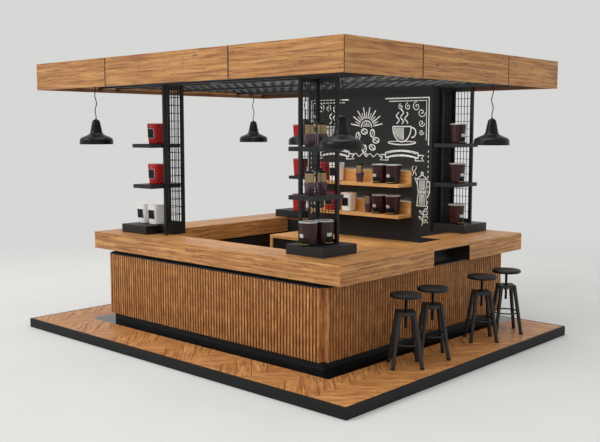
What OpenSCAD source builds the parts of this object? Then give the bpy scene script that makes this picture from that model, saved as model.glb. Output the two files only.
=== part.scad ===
// Coffee kiosk: a walk-in bar on a platform, with a slatted counter ring, four corner
// towers, a chalk wall, a timber canopy, pendant lamps and swivel stools.
// Millimetres. The origin is the centre of the platform's underside, the front is -Y,
// and the stools stand on the +X side.

/* [Platform] */
// Platform length along the front
platform_w = 5000; // [4800:10:5400]
// Platform depth from front to back
platform_d = 4030; // [3960:10:4300]
// Platform height
platform_h = 105; // [80:5:160]
// Width of the black edging round the platform
edging_w = 25; // [15:1:45]
// Thickness of the dark floor band let into the deck
band_t = 20; // [10:1:30]
// Width of the floor band in front of the slats at the front
band_front = 125; // [80:5:200]
// Width of the floor band in front of the slats at the sides
band_side = 170; // [80:5:200]

/* [Counter] */
// Distance from the centre to the left slat face
counter_left = 1792; // [1720:2:1850]
// Distance from the centre to the right slat face
counter_right = 1690; // [1650:2:1720]
// Distance from the centre to the front slat face
counter_front = 1368; // [1320:2:1400]
// Height of the recessed plinth
plinth_h = 84; // [60:2:120]
// Height of the slats
slat_h = 733; // [650:5:800]
// Depth of the slats in front of the core
slat_t = 63; // [40:1:70]
// Width of one slat
slat_w = 28; // [20:1:45]
// Clear gap between slats
slat_gap = 14.5; // [8:0.5:25]
// Thickness of the board behind the slats
slat_back = 10; // [6:1:15]
// Width of the plain board at each end of a slat panel
slat_end = 84; // [50:2:120]
// Height of the dark strip above the slats
strip_h = 37; // [20:1:60]
// Height of the counter fascia
top_h = 199; // [140:1:240]
// Thickness of the counter board
top_t = 28; // [20:1:40]
// Thickness of the fascia boards
fascia_t = 25; // [18:1:32]
// Overhang of the counter beyond the slats at front and back
over_front = 21; // [10:1:60]
// Overhang of the counter beyond the slats at the sides
over_side = 217; // [150:1:260]
// Width of the front counter
front_run = 442; // [400:2:520]
// Width of the left counter
left_run = 544; // [480:2:620]
// Width of the right counter
right_run = 661; // [600:2:700]

/* [Staff entrance] */
// Distance from the centre to the near side of the entrance
gate_start = 141; // [100:1:180]
// Clear width of the entrance
gate_w = 702; // [650:2:760]
// Thickness of the gate panel behind its slats
gate_t = 40; // [30:1:50]
// Depth of the lift-up flap
flap_d = 361; // [320:1:400]
// Working gap round the gate and the flap
work_gap = 5; // [5:0.5:8]
// Extra gap at the free edge of the gate for its swing
swing_gap = 6; // [6:0.5:10]
// Diameter of the hinge pins
pin_d = 10; // [8:0.5:12]
// Running clearance of a pin or spindle, all round
run_fit = 0.1; // [0.05:0.01:0.1]
// Outer diameter of the hinge eyes
eye_d = 22; // [18:1:24]
// Length of one hinge eye along its pin
eye_l = 40; // [25:1:50]
// Distance from the gate's ends to its hinge eyes
eye_in = 150; // [100:5:250]

/* [Towers] */
// Distance from the centre to the front towers' corner posts, towards the front
tower_front = 778; // [740:1:800]
// Gap between the back towers and the inside of the canopy's back fascia
tower_gap = 5; // [2:1:30]
// Distance from the left slat face to the front left tower's corner post
inset_fl = 734; // [700:1:770]
// Distance from the right slat face to the front right tower's corner post
inset_fr = 600; // [570:1:630]
// Distance from the left slat face to the back left tower's corner post
inset_bl = 792; // [740:1:810]
// Distance from the right slat face to the back right tower's corner post
inset_br = 658; // [630:1:680]
// Distance between the posts of one tower side
tower_arm = 258; // [220:1:300]
// Side of the square posts
post_s = 36; // [25:1:45]
// Height of the black base blocks
block_h = 100; // [60:2:140]
// Width of the base blocks
block_w = 500; // [460:2:540]
// Depth of the base blocks
block_d = 510; // [460:2:530]
// Distance that a right base block reaches inside its corner post
block_in = 70; // [40:1:100]
// Distance that a base block reaches behind its corner post
block_back = 110; // [60:1:130]
// Distance from a left corner post to its base block
block_off = 204; // [190:1:240]
// Width of a left base block
block_wl = 474; // [440:2:520]
// Distance that a left corner post's foot block reaches towards the front
foot_reach = 185; // [178:1:215]
// Width of a tower shelf
shelf_w = 343; // [300:1:380]
// Depth of a tower shelf
shelf_d = 437; // [380:1:460]
// Thickness of a tower shelf
shelf_t = 44; // [24:1:48]
// Places of the lower and the upper shelf, as shares of the tower's height
shelf_share = [0.302, 0.59]; // [0.27:0.002:0.63]
// Thickness of the mesh wires
wire_t = 6; // [4:0.5:10]
// Spacing of the upright mesh wires
mesh_u = 45; // [30:1:60]
// Spacing of the level mesh wires
mesh_v = 93; // [60:1:120]

/* [Canopy] */
// Distance from the platform's ends to the canopy's ends
canopy_side = 135; // [60:5:250]
// Distance from the platform's front and back to the canopy's
canopy_end = 115; // [65:5:125]
// Height of the canopy's lower edge
canopy_z = 2860; // [2750:10:3000]
// Height of the canopy fascia
canopy_h = 304; // [240:2:360]
// Thickness of the canopy fascia
canopy_t = 35; // [25:1:50]
// Height of the ceiling bars above the fascia's lower edge
recess = 45; // [20:1:80]
// Width of the canopy bars
bar_w = 50; // [40:1:60]
// Height of the canopy bars
bar_h = 22; // [16:1:60]
// Spacing of the ceiling grille wires
grille_p = 160; // [140:5:240]
// Thickness of the ceiling grille wires
grille_t = 6; // [5:0.5:12]

/* [Wall and bench] */
// Distance from the platform's back edge to the chalk wall's face
wall_back = 600; // [575:1:635]
// Thickness of the chalk wall
wall_t = 60; // [40:1:80]
// Gap between the chalk wall and the back left tower's shelves
wall_slit = 2; // [1:0.5:20]
// Gap between the chalk wall and the back right corner post
wall_gap = 12; // [6:1:30]
// Height of the bench top
bench_z = 1000; // [940:5:1040]
// Depth of the bench
bench_d = 660; // [560:5:680]
// Gap between the left counter and the bench
bench_gap_l = 352; // [250:1:450]
// Gap between the right counter and the bench
bench_gap_r = 133; // [60:1:200]
// Thickness of the bench boards
bench_t = 40; // [25:1:50]
// Distance from the centre to each end of the wall shelves
wshelf_x = 715; // [600:5:800]
// Depth of the wall shelves
wshelf_d = 280; // [200:5:320]
// Thickness of the wall shelves
wshelf_t = 38; // [25:1:45]
// Height of the upstand behind the wall shelves
upstand_h = 155; // [100:1:200]
// Thickness of the upstand
upstand_t = 20; // [12:1:28]
// Height of the lower wall shelf's top
wshelf_low = 1345; // [1300:5:1400]
// Height of the upper wall shelf's top
wshelf_high = 1728; // [1700:5:1780]

/* [Lamps] */
// Outer diameter of a lamp shade
shade_d = 400; // [340:2:440]
// Height of a lamp shade
shade_h = 290; // [250:2:320]
// Sheet thickness of a lamp shade
shade_t = 4; // [3:0.5:6]
// Length of the flex between a shade and the canopy bars
flex_l = 395; // [340:5:460]
// Diameter of the twisted flex
flex_d = 14; // [8:1:18]
// Distance from the canopy's right end to the right lamps
lamp_side = 500; // [450:1:560]
// Distance from the canopy's left end to the left lamps
lamp_left = 357; // [320:1:420]
// Distance from the canopy's front and back to the corner lamps
lamp_end = 570; // [540:1:620]

/* [Stools] */
// Distance from the counter's edge to the row of stools
stool_out = 201; // [175:1:240]
// Place of the first stool along the row, towards the front
stool_1 = 637; // [600:1:680]
// Place of the second stool along the row, towards the front
stool_2 = 175; // [130:1:200]
// Place of the third stool along the row, towards the back
stool_3 = 773; // [740:1:800]
// Place of the fourth stool along the row, towards the back
stool_4 = 1307; // [1260:1:1340]
// Diameter of a seat
seat_d = 320; // [280:2:340]
// Thickness of a seat
seat_t = 36; // [26:1:48]
// Height of a seat above the platform
seat_z = 715; // [660:5:760]
// Diameter of the spindle
spindle_d = 26; // [20:1:30]
// Length of the spindle below the seat
spindle_l = 304; // [280:2:320]
// Height of the top frame's underside above the platform
hub_z = 511; // [470:1:530]
// Height of the top frame
hub_h = 32; // [24:1:45]
// Distance across the corners of the top frame
hub_c = 250; // [220:2:270]
// Diameter of the legs at the shoulders
leg_top = 40; // [30:1:44]
// Diameter of the legs at the feet
leg_d = 34; // [24:1:38]
// Radius of the circle that the feet stand on
foot_r = 201; // [180:1:215]
// Height of the foot ring above the platform
ring_z = 232; // [200:1:280]
// Diameter of the ring rod
ring_d = 12; // [8:1:14]

/* [Goods] */
// Height of a coffee maker
maker_h = 238; // [200:2:260]
// Upper diameter of a round coffee maker
maker_top = 196; // [160:2:200]
// Lower diameter of a round coffee maker
maker_low = 164; // [130:2:170]
// Upper side of a square coffee maker
box_top = 170; // [150:2:184]
// Lower side of a square coffee maker
box_low = 146; // [130:2:160]
// Distance across the round corners of a square coffee maker, as a share of its side
box_round = 1.25; // [1.15:0.01:1.35]
// Height of a coffee jar
jar_h = 232; // [180:2:250]
// Diameter of a coffee jar
jar_d = 112; // [90:2:120]

/* [Hidden] */
$fn = 48;

// Platform edges
px = platform_w / 2;
py = platform_d / 2;

// Canopy size and chalk wall
canopy_w = platform_w - 2 * canopy_side;
canopy_d = platform_d - 2 * canopy_end;
wall_y = py - wall_back;

// Heights of the counter
z_slat = platform_h + plinth_h;
z_strip = z_slat + slat_h;
z_fascia = z_strip + strip_h;
z_top = z_fascia + top_h;
z_core = z_top - top_t;

// Faces of the counter core, behind the slats
core_l = -counter_left + slat_t;
core_r = counter_right - slat_t;
core_f = -counter_front + slat_t;
core_b = py - over_front - slat_t;

// Outer edges of the counter board
top_l = -counter_left - over_side;
top_r = counter_right + over_side;
top_f = -counter_front - over_front;
top_b = py;

// Inner edges of the counter board
in_f = top_f + front_run;
in_l = top_l + left_run;
in_r = top_r - right_run;
in_b = wall_y + wall_t;

// Staff entrance
gate_end = gate_start + gate_w;
flap_x = top_r - flap_d;
gate_z0 = platform_h + work_gap;
gate_z1 = z_top - top_t - work_gap;
gate_y1 = gate_end - work_gap - swing_gap;
gate_px = core_r - gate_t / 2;
gate_py = gate_start + work_gap + gate_t / 2;
flap_py = gate_start + work_gap + top_t / 2;
flap_pz = z_top - top_t / 2;
notch_l = eye_l + 2 * work_gap;
notch_r = eye_d / 2 + work_gap;

// Canopy levels
z_bar = canopy_z + recess;
z_grille = z_bar + bar_h;

// Distances from the centre to the towers' corner posts
tower_fl = counter_left - inset_fl;
tower_fr = counter_right - inset_fr;
tower_bl = counter_left - inset_bl;
tower_br = counter_right - inset_br;
tower_back = canopy_d / 2 - canopy_t - tower_gap - post_s / 2;

// Towers: corner post and side, 1 to the right and -1 to the left
tower_list = [
    [-tower_fl, -tower_front, -1],
    [tower_fr, -tower_front, 1],
    [-tower_bl, tower_back, -1],
    [tower_br, tower_back, 1]
];
z_block = z_top + block_h;
z_shelf = [for (k = shelf_share) z_block + k * (z_bar - z_block)];

// Chalk wall, and the closed body behind it between the back towers
body_l = -tower_bl + post_s / 2;
body_b = tower_back + post_s / 2;
wall_l = -tower_bl - post_s / 2 + wall_slit;
wall_r = tower_br - post_s / 2 - wall_gap;

// Ends of the bench
bench_l = in_l + bench_gap_l;
bench_r = in_r - bench_gap_r;

// Lamps, with one over the middle of the counter
lamp_x = canopy_w / 2 - lamp_side;
lamp_xl = canopy_w / 2 - lamp_left;
lamp_y = canopy_d / 2 - lamp_end;
shade_z = z_bar - flex_l - shade_h;
lamp_list = [
    [-lamp_xl, -lamp_y], [lamp_x, -lamp_y], [-lamp_xl, lamp_y], [lamp_x, lamp_y],
    [0, (in_f + wall_y) / 2]
];

// Stools
stool_list = [-stool_1, -stool_2, stool_3, stool_4];
stool_x = top_r + stool_out;
z_seat = platform_h + seat_z;
leg_r = hub_c / 2 - leg_top / 2;
leg_z = hub_z + hub_h - leg_top / 2;
leg_lean = atan2(foot_r - leg_r, leg_z);
leg_l = norm([foot_r - leg_r, leg_z]);
ring_r = leg_r + (leg_z - ring_z) * tan(leg_lean) - leg_d / 3;

// Helpers

// A box between two corners
module box(x0, x1, y0, y1, z0, z1) {
    translate([x0, y0, z0])
        cube([x1 - x0, y1 - y0, z1 - z0]);
}

// A panel of upright slats along X from 0, on a thin backing board at the far side,
// with a plain board at each end
module slat_row(length) {
    pitch = slat_w + slat_gap;
    count = floor((length - 2 * slat_end - slat_gap) / pitch);
    first = (length - count * pitch + slat_gap) / 2;
    linear_extrude(height = slat_h) {
        translate([0, slat_t - slat_back])
            square([length, slat_back]);
        square([slat_end, slat_t]);
        translate([length - slat_end, 0])
            square([slat_end, slat_t]);
        for (i = [0 : count - 1])
            translate([first + i * pitch, 0])
                square([slat_w, slat_t]);
    }
}

// Slat panels on the four sides, each backed by the core's face
module slats_facing_front(x0, x1, face) {
    translate([x0, face - slat_t, z_slat])
        slat_row(x1 - x0);
}

module slats_facing_back(x0, x1, face) {
    translate([x1, face + slat_t, z_slat])
        rotate(180)
            slat_row(x1 - x0);
}

module slats_facing_right(y0, y1, face) {
    translate([face + slat_t, y0, z_slat])
        rotate(90)
            slat_row(y1 - y0);
}

module slats_facing_left(y0, y1, face) {
    translate([face - slat_t, y1, z_slat])
        rotate(-90)
            slat_row(y1 - y0);
}

// A counter board with fascia boards on its open sides
module counter_top(x0, x1, y0, y1, left, right, front, back) {
    box(x0, x1, y0, y1, z_core, z_top);
    if (left)
        box(x0, x0 + fascia_t, y0, y1, z_fascia, z_core);
    if (right)
        box(x1 - fascia_t, x1, y0, y1, z_fascia, z_core);
    if (front)
        box(x0, x1, y0, y0 + fascia_t, z_fascia, z_core);
    if (back)
        box(x0, x1, y1 - fascia_t, y1, z_fascia, z_core);
}

// Posts of a tower: a corner post, one in front of it and one outside it
module tower_frame(t) {
    foot = t[2] > 0 ? z_block : z_top;
    tower_post(t[0], t[1], z_block);
    tower_post(t[0] + t[2] * tower_arm, t[1], z_block);
    tower_post(t[0], t[1] - tower_arm, foot);
    rail_h = post_s;
    for (z = [z_block, z_bar - rail_h]) {
        box(min(t[0], t[0] + t[2] * tower_arm), max(t[0], t[0] + t[2] * tower_arm),
            t[1] - post_s / 2, t[1] + post_s / 2, z, z + rail_h);
        box(t[0] - post_s / 2, t[0] + post_s / 2, t[1] - tower_arm, t[1], z, z + rail_h);
    }
}

module tower_post(x, y, z0) {
    box(x - post_s / 2, x + post_s / 2, y - post_s / 2, y + post_s / 2, z0, z_bar);
}

// A flat square mesh from 0 to w and 0 to h, with a wire all round
module mesh_flat(w, h, pu, pv, t) {
    nu = max(1, round(w / pu));
    nv = max(1, round(h / pv));
    cu = (w - (nu + 1) * t) / nu;
    cv = (h - (nv + 1) * t) / nv;
    linear_extrude(height = t)
        difference() {
            square([w, h]);
            for (i = [0 : nu - 1], j = [0 : nv - 1])
                translate([t + i * (cu + t), t + j * (cv + t)])
                    square([cu, cv]);
        }
}

// The same mesh stood upright along X
module mesh_panel(w, h) {
    translate([0, wire_t / 2, 0])
        rotate([90, 0, 0])
            mesh_flat(w, h, mesh_u, mesh_v, wire_t);
}

// Mesh between the posts of a tower
module tower_mesh(t) {
    clear = tower_arm - post_s;
    z0 = z_block + post_s;
    z1 = z_bar - post_s;
    x0 = t[2] > 0 ? t[0] + post_s / 2 : t[0] - tower_arm + post_s / 2;
    translate([x0, t[1], z0])
        mesh_panel(clear, z1 - z0);
    translate([t[0], t[1] - post_s / 2 - clear, z0])
        rotate(90)
            mesh_panel(clear, z1 - z0);
}

// A swivel seat with its spindle, standing on the axis
module seat() {
    soft = seat_t / 3;
    nip = soft * 0.3;
    r = seat_d / 2;
    rotate_extrude()
        polygon([
            [0, 0], [r - soft, 0], [r - nip, nip], [r, soft],
            [r, seat_t - soft], [r - nip, seat_t - nip], [r - soft, seat_t], [0, seat_t]
        ]);
    translate([0, 0, -spindle_l])
        cylinder(d = spindle_d, h = spindle_l);
}

// A stool's top frame, four legs and foot ring, standing on the axis
module stool_frame() {
    side = hub_c / sqrt(2);
    reach = foot_r + leg_top;
    difference() {
        union() {
            intersection() {
                rotate(45)
                    translate([-side / 2, -side / 2, hub_z])
                        cube([side, side, hub_h]);
                translate([0, 0, hub_z])
                    cylinder(r = leg_r, h = hub_h);
            }
            intersection() {
                for (a = [0 : 90 : 270])
                    rotate(a)
                        translate([leg_r, 0, leg_z])
                            rotate([0, 180 - leg_lean, 0])
                                translate([0, 0, -leg_top])
                                    cylinder(d1 = leg_top, d2 = leg_d, h = leg_l + 2 * leg_top, $fn = 32);
                translate([-reach, -reach, 0])
                    cube([2 * reach, 2 * reach, hub_z + hub_h]);
            }
            translate([0, 0, ring_z])
                rotate_extrude()
                    translate([ring_r, 0])
                        circle(d = ring_d, $fn = 16);
        }
        translate([0, 0, hub_z - hub_h])
            cylinder(d = spindle_d + 2 * run_fit, h = 3 * hub_h);
    }
}

// A coffee maker, wider at the top
module maker(x, y, z) {
    translate([x, y, z])
        cylinder(d1 = maker_low, d2 = maker_top, h = maker_h);
}

// A square coffee maker, wider at the top, with round corners
module square_maker(x, y, z) {
    corner = sqrt(2);
    translate([x, y, z])
        intersection() {
            rotate(45)
                cylinder(d1 = box_low * corner, d2 = box_top * corner, h = maker_h, $fn = 4);
            cylinder(d1 = box_low * box_round, d2 = box_top * box_round, h = maker_h);
        }
}

// A coffee jar with a narrower lid
module jar(x, y, z) {
    translate([x, y, z])
        rotate_extrude()
            polygon([
                [0, 0], [jar_d / 2, 0], [jar_d / 2, jar_h * 0.55],
                [jar_d * 0.42, jar_h * 0.6], [jar_d * 0.42, jar_h], [0, jar_h]
            ]);
}

// Platform

module edging_long() {
    color("#1c1c1d")
        for (y = [-py, py - edging_w])
            box(-px, px, y, y + edging_w, 0, platform_h);
}

module edging_short() {
    color("#1c1c1d")
        for (x = [-px, px - edging_w])
            box(x, x + edging_w, -py + edging_w, py - edging_w, 0, platform_h);
}

// Outer edges of the floor band
band_l = -counter_left - band_side;
band_r = counter_right + band_side;
band_f = -counter_front - band_front;
band_b = py - edging_w;

module band_front_strip(z0, z1) {
    box(band_l, band_r, band_f, core_f, z0, z1);
}

module band_side_strips(z0, z1) {
    box(band_l, core_l, core_f, band_b, z0, z1);
    box(core_r, band_r, core_f, band_b, z0, z1);
}

module platform_deck() {
    color("#b98a56")
        difference() {
            box(-px + edging_w, px - edging_w, -py + edging_w, py - edging_w, 0, platform_h);
            band_front_strip(platform_h - band_t, platform_h + 1);
            band_side_strips(platform_h - band_t, platform_h + 1);
        }
}

module band_front() {
    color("#222223")
        band_front_strip(platform_h - band_t, platform_h);
}

module band_sides() {
    color("#222223")
        band_side_strips(platform_h - band_t, platform_h);
}

// Counter core

module core_front() {
    color("#1f1f20")
        box(core_l, core_r, core_f, in_f - fascia_t, platform_h, z_core);
}

module core_left() {
    color("#1f1f20")
        box(core_l, in_l - fascia_t, in_f, in_b, platform_h, z_core);
}

module core_back() {
    color("#1f1f20")
        box(core_l, core_r, in_b, core_b, platform_h, z_core);
}

module core_right() {
    color("#1f1f20") {
        box(in_r + fascia_t, core_r, in_f, gate_start, platform_h, z_core);
        box(core_r, top_r - fascia_t, gate_start - fascia_t, gate_start, z_fascia, z_core);
    }
}

module core_block() {
    color("#1f1f20") {
        box(in_r + fascia_t, core_r, gate_end, in_b, platform_h, z_core);
        box(core_r, top_r - fascia_t, gate_end, gate_end + fascia_t, z_fascia, z_core);
    }
}

// Slats

module slats_front() {
    color("#9a6a3c")
        slats_facing_front(core_l, core_r, core_f);
}

module slats_back() {
    color("#9a6a3c")
        slats_facing_back(core_l, core_r, core_b);
}

module slats_left() {
    color("#9a6a3c")
        slats_facing_left(core_f, core_b, core_l);
}

module slats_right() {
    color("#9a6a3c")
        slats_facing_right(core_f, gate_start, core_r);
}

module slats_block() {
    color("#9a6a3c")
        slats_facing_right(gate_end, core_b, core_r);
}

// Counter boards

module top_front() {
    color("#a8743f")
        counter_top(top_l, top_r, top_f, in_f, true, true, true, true);
}

module top_left() {
    color("#a8743f")
        counter_top(top_l, in_l, in_f, in_b, true, true, false, false);
}

module top_back() {
    color("#a8743f")
        counter_top(top_l, top_r, in_b, top_b, true, true, false, true);
}

module top_right() {
    color("#a8743f")
        counter_top(in_r, top_r, in_f, gate_start, true, true, false, false);
}

module top_block() {
    color("#a8743f")
        counter_top(in_r, top_r, gate_end, in_b, true, true, false, false);
}

// Staff entrance

// Places of the two hinge eyes of the flap along X
flap_eyes = [flap_x + flap_d / 5, top_r - flap_d / 5];
// Places of the two hinge eyes of the gate along Z
gate_eyes = [gate_z0 + eye_in, gate_z1 - eye_in];

module counter_flap() {
    color("#a8743f")
        difference() {
            union() {
                box(flap_x, top_r, flap_py, gate_end - work_gap, z_core, z_top);
                translate([flap_x, flap_py, flap_pz])
                    rotate([0, 90, 0])
                        cylinder(d = top_t, h = flap_d);
            }
            translate([flap_x - 1, flap_py, flap_pz])
                rotate([0, 90, 0])
                    cylinder(d = pin_d + 2 * run_fit, h = flap_d + 2);
            for (x = flap_eyes)
                box(x - notch_l / 2, x + notch_l / 2, gate_start, flap_py + notch_r,
                    z_core - 1, z_top + 1);
        }
}

module flap_hinge() {
    color("#8f9093") {
        translate([flap_x, flap_py, flap_pz])
            rotate([0, 90, 0])
                cylinder(d = pin_d, h = flap_d);
        for (x = flap_eyes) {
            translate([x - eye_l / 2, flap_py, flap_pz])
                rotate([0, 90, 0])
                    cylinder(d = eye_d, h = eye_l);
            box(x - eye_l / 2, x + eye_l / 2, gate_start, flap_py,
                flap_pz - pin_d / 2, flap_pz + pin_d / 2);
        }
    }
}

module gate_leaf() {
    color("#1f1f20")
        difference() {
            union() {
                box(core_r - gate_t, core_r, gate_py, gate_y1, gate_z0, gate_z1);
                translate([gate_px, gate_py, gate_z0])
                    cylinder(d = gate_t, h = gate_z1 - gate_z0);
            }
            translate([gate_px, gate_py, gate_z0 - 1])
                cylinder(d = pin_d + 2 * run_fit, h = gate_z1 - gate_z0 + 2);
            for (z = gate_eyes)
                box(core_r - gate_t - 1, core_r + 1, gate_start, gate_py + notch_r,
                    z - notch_l / 2, z + notch_l / 2);
        }
}

module gate_slats() {
    color("#9a6a3c")
        slats_facing_right(gate_py, gate_y1, core_r);
}

module gate_hinge() {
    color("#8f9093") {
        translate([gate_px, gate_py, gate_z0])
            cylinder(d = pin_d, h = gate_z1 - gate_z0);
        for (z = gate_eyes) {
            translate([gate_px, gate_py, z - eye_l / 2])
                cylinder(d = eye_d, h = eye_l);
            box(gate_px - pin_d / 2, gate_px + pin_d / 2, gate_start, gate_py,
                z - eye_l / 2, z + eye_l / 2);
        }
    }
}

// Towers

module tower_blocks() {
    color("#252526")
        for (t = tower_list) {
            y1 = t[1] + block_back;
            if (t[2] > 0) {
                x0 = t[0] - block_in;
                box(t[1] > 0 ? wall_r : x0, x0 + block_w, y1 - block_d, y1, z_top, z_block);
            } else {
                x1 = t[0] - block_off;
                box(x1 - block_wl, x1, y1 - block_d, y1, z_top, z_block);
                box(x1, t[0] + post_s / 2, t[1] - foot_reach, t[1] + post_s / 2,
                    z_top, z_block);
            }
        }
}

module tower_fl_frame() {
    color("#202021") tower_frame(tower_list[0]);
}

module tower_fr_frame() {
    color("#202021") tower_frame(tower_list[1]);
}

module tower_bl_frame() {
    color("#202021") tower_frame(tower_list[2]);
}

module tower_br_frame() {
    color("#202021") tower_frame(tower_list[3]);
}

module tower_fl_mesh() {
    color("#2a2a2b") tower_mesh(tower_list[0]);
}

module tower_fr_mesh() {
    color("#2a2a2b") tower_mesh(tower_list[1]);
}

module tower_bl_mesh() {
    color("#2a2a2b") tower_mesh(tower_list[2]);
}

module tower_br_mesh() {
    color("#2a2a2b") tower_mesh(tower_list[3]);
}

module tower_shelves() {
    color("#2b2b2c")
        for (t = tower_list, z = z_shelf) {
            x0 = t[2] > 0 ? t[0] + post_s / 2 : t[0] - post_s / 2 - shelf_w;
            y1 = t[1] - post_s / 2;
            box(x0, x0 + shelf_w, y1 - shelf_d, y1, z - shelf_t, z);
        }
}

// Canopy

// A fascia board along X, mitred at both ends, with its outer face at y = 0
module fascia_board(length) {
    translate([-length / 2, 0, canopy_z])
        linear_extrude(height = canopy_h)
            polygon([[0, 0], [length, 0], [length - canopy_t, canopy_t], [canopy_t, canopy_t]]);
}

module canopy_front() {
    color("#b07c46")
        translate([0, -canopy_d / 2, 0])
            fascia_board(canopy_w);
}

module canopy_back() {
    color("#b07c46")
        translate([0, canopy_d / 2, 0])
            rotate(180)
                fascia_board(canopy_w);
}

module canopy_left() {
    color("#b07c46")
        translate([-canopy_w / 2, 0, 0])
            rotate(-90)
                fascia_board(canopy_d);
}

module canopy_right() {
    color("#b07c46")
        translate([canopy_w / 2, 0, 0])
            rotate(90)
                fascia_board(canopy_d);
}

// Joists over the tower posts and the lamps
joist_list = [
    -lamp_y, -tower_front - tower_arm, -tower_front, (in_f + wall_y) / 2,
    lamp_y, tower_back - tower_arm, tower_back + post_s / 2 - bar_w / 2
];

module canopy_joists() {
    wi = canopy_w / 2 - canopy_t;
    color("#1d1d1e")
        for (y = joist_list)
            box(-wi, wi, y - bar_w / 2, y + bar_w / 2, z_bar, z_grille);
}

// One half of the open ceiling grille, resting on the bars
module ceiling_half(side) {
    wi = canopy_w / 2 - canopy_t;
    di = canopy_d / 2 - canopy_t;
    translate([side > 0 ? 0 : -wi, -di, z_grille])
        mesh_flat(wi, 2 * di, grille_p, grille_p, grille_t);
}

module ceiling_left() {
    color("#2a2a2b") ceiling_half(-1);
}

module ceiling_right() {
    color("#2a2a2b") ceiling_half(1);
}

// Wall and bench

module chalk_wall() {
    color("#232425")
        union() {
            box(wall_l, in_r, wall_y, in_b, platform_h, z_top);
            box(wall_l, wall_r, wall_y, in_b, z_top, z_bar);
            box(body_l, wall_r, in_b, body_b, z_top, z_bar);
        }
}

module wall_shelves() {
    color("#c99a62")
        for (z = [wshelf_low, wshelf_high]) {
            box(-wshelf_x, wshelf_x, wall_y - wshelf_d, wall_y, z - wshelf_t, z);
            box(-wshelf_x, wshelf_x, wall_y - upstand_t, wall_y, z, z + upstand_h);
        }
}

module bench_top() {
    color("#c08c50") {
        box(bench_l, bench_r, wall_y - bench_d, wall_y, bench_z - bench_t, bench_z);
        for (x = [bench_l, bench_r - bench_t])
            box(x, x + bench_t, wall_y - bench_d, wall_y, platform_h, bench_z - bench_t);
    }
}

module bench_cabinet() {
    color("#242425")
        box(bench_l + bench_t, bench_r - bench_t, wall_y - bench_d + bench_t, wall_y,
            platform_h, bench_z - bench_t);
}

// Lamps

// Half outline of a shade, from the rim up to the neck, moved in by t
function shade_line(t) = [
    for (k = [
        [0.5, 0], [0.5, 0.15], [0.475, 0.22], [0.405, 0.29], [0.255, 0.38],
        [0.19, 0.43], [0.16, 0.5], [0.115, 0.82], [0.09, 0.95], [0.07, 1]
    ])
        [k[0] * shade_d - t, max(0, k[1] * shade_h - t)]
];

module shade() {
    rotate_extrude()
        difference() {
            polygon(concat([[0, 0]], shade_line(0), [[0, shade_h]]));
            translate([0, -0.01])
                polygon(concat([[0, 0]], shade_line(shade_t), [[0, shade_h - shade_t]]));
        }
}

module lamp_shades() {
    color("#1b1b1c")
        for (p = lamp_list)
            translate([p[0], p[1], shade_z])
                shade();
}

module lamp_flexes() {
    color("#262627")
        for (p = lamp_list)
            translate([p[0], p[1], shade_z + shade_h])
                cylinder(d = flex_d, h = flex_l);
}

// Stools

module stool_frames() {
    color("#1b1b1c")
        for (y = stool_list)
            translate([stool_x, y, platform_h])
                stool_frame();
}

module placed_seat(n) {
    color("#1e1e1f")
        translate([stool_x, stool_list[n], z_seat - seat_t])
            seat();
}

module seat_1() {
    placed_seat(0);
}

module seat_2() {
    placed_seat(1);
}

module seat_3() {
    placed_seat(2);
}

module seat_4() {
    placed_seat(3);
}

// Goods

// Centre of a tower's shelf
function shelf_mid(t) = [t[0] + t[2] * (post_s / 2 + shelf_w / 2), t[1] - post_s / 2 - shelf_d / 2];

module makers_red() {
    color("#a3262b") {
        fl = shelf_mid(tower_list[0]);
        bl = shelf_mid(tower_list[2]);
        // Centre of the outer front quarter of the back left shelf
        out = [bl[0] - shelf_w / 4, bl[1] - shelf_d / 6];
        for (z = z_shelf) {
            square_maker(fl[0], fl[1], z);
            square_maker(out[0], out[1], z);
        }
        square_maker(tower_list[2][0] - block_off - box_top / 2, out[1], z_block);
        square_maker(-wshelf_x + box_top * 0.55, wall_y - wshelf_d / 2, wshelf_high);
        square_maker(-wshelf_x + box_top * 1.49, wall_y - wshelf_d / 2, wshelf_low);
    }
}

module makers_white() {
    color("#d8d6d2") {
        fl = tower_list[0];
        for (n = [-0.6, 0.68])
            square_maker(fl[0] - block_off - block_wl / 2 + n * box_top,
                fl[1] + block_back - block_d / 2, z_block);
        square_maker(-wshelf_x + box_top * 1.91, wall_y - wshelf_d / 2, wshelf_high);
        square_maker(-wshelf_x + box_top * 3.13, wall_y - wshelf_d / 2, wshelf_low);
    }
}

module makers_brown() {
    color("#3a2023") {
        fr = tower_list[1];
        br = shelf_mid(tower_list[3]);
        // Clear place between the arms of the front right tower
        near = post_s / 2 + maker_top / 2 + wire_t / 2;
        maker(fr[0] + near * 1.35, fr[1] - near - maker_top * 1.02, z_block);
        maker(fr[0] + near * 1.63, fr[1] - near, z_block);
        for (z = concat(z_shelf, [z_block]))
            maker(br[0] + shelf_w * 0.13, br[1] - shelf_d * 0.07, z);
        for (z = [wshelf_low, wshelf_high], n = [0.94, 2.02])
            maker(wshelf_x - n * maker_top, wall_y - wshelf_d / 2, z);
    }
}

module coffee_jars() {
    color("#4a3a44") {
        fr = tower_list[1];
        for (z = z_shelf, n = [1.03, 2.7])
            jar(fr[0] + jar_d * 1.43, fr[1] - n * jar_d, z);
        jar(0, wall_y - wshelf_d / 2, wshelf_high);
        jar(jar_d * 1.32, wall_y - wshelf_d / 2, wshelf_low);
    }
}

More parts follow.
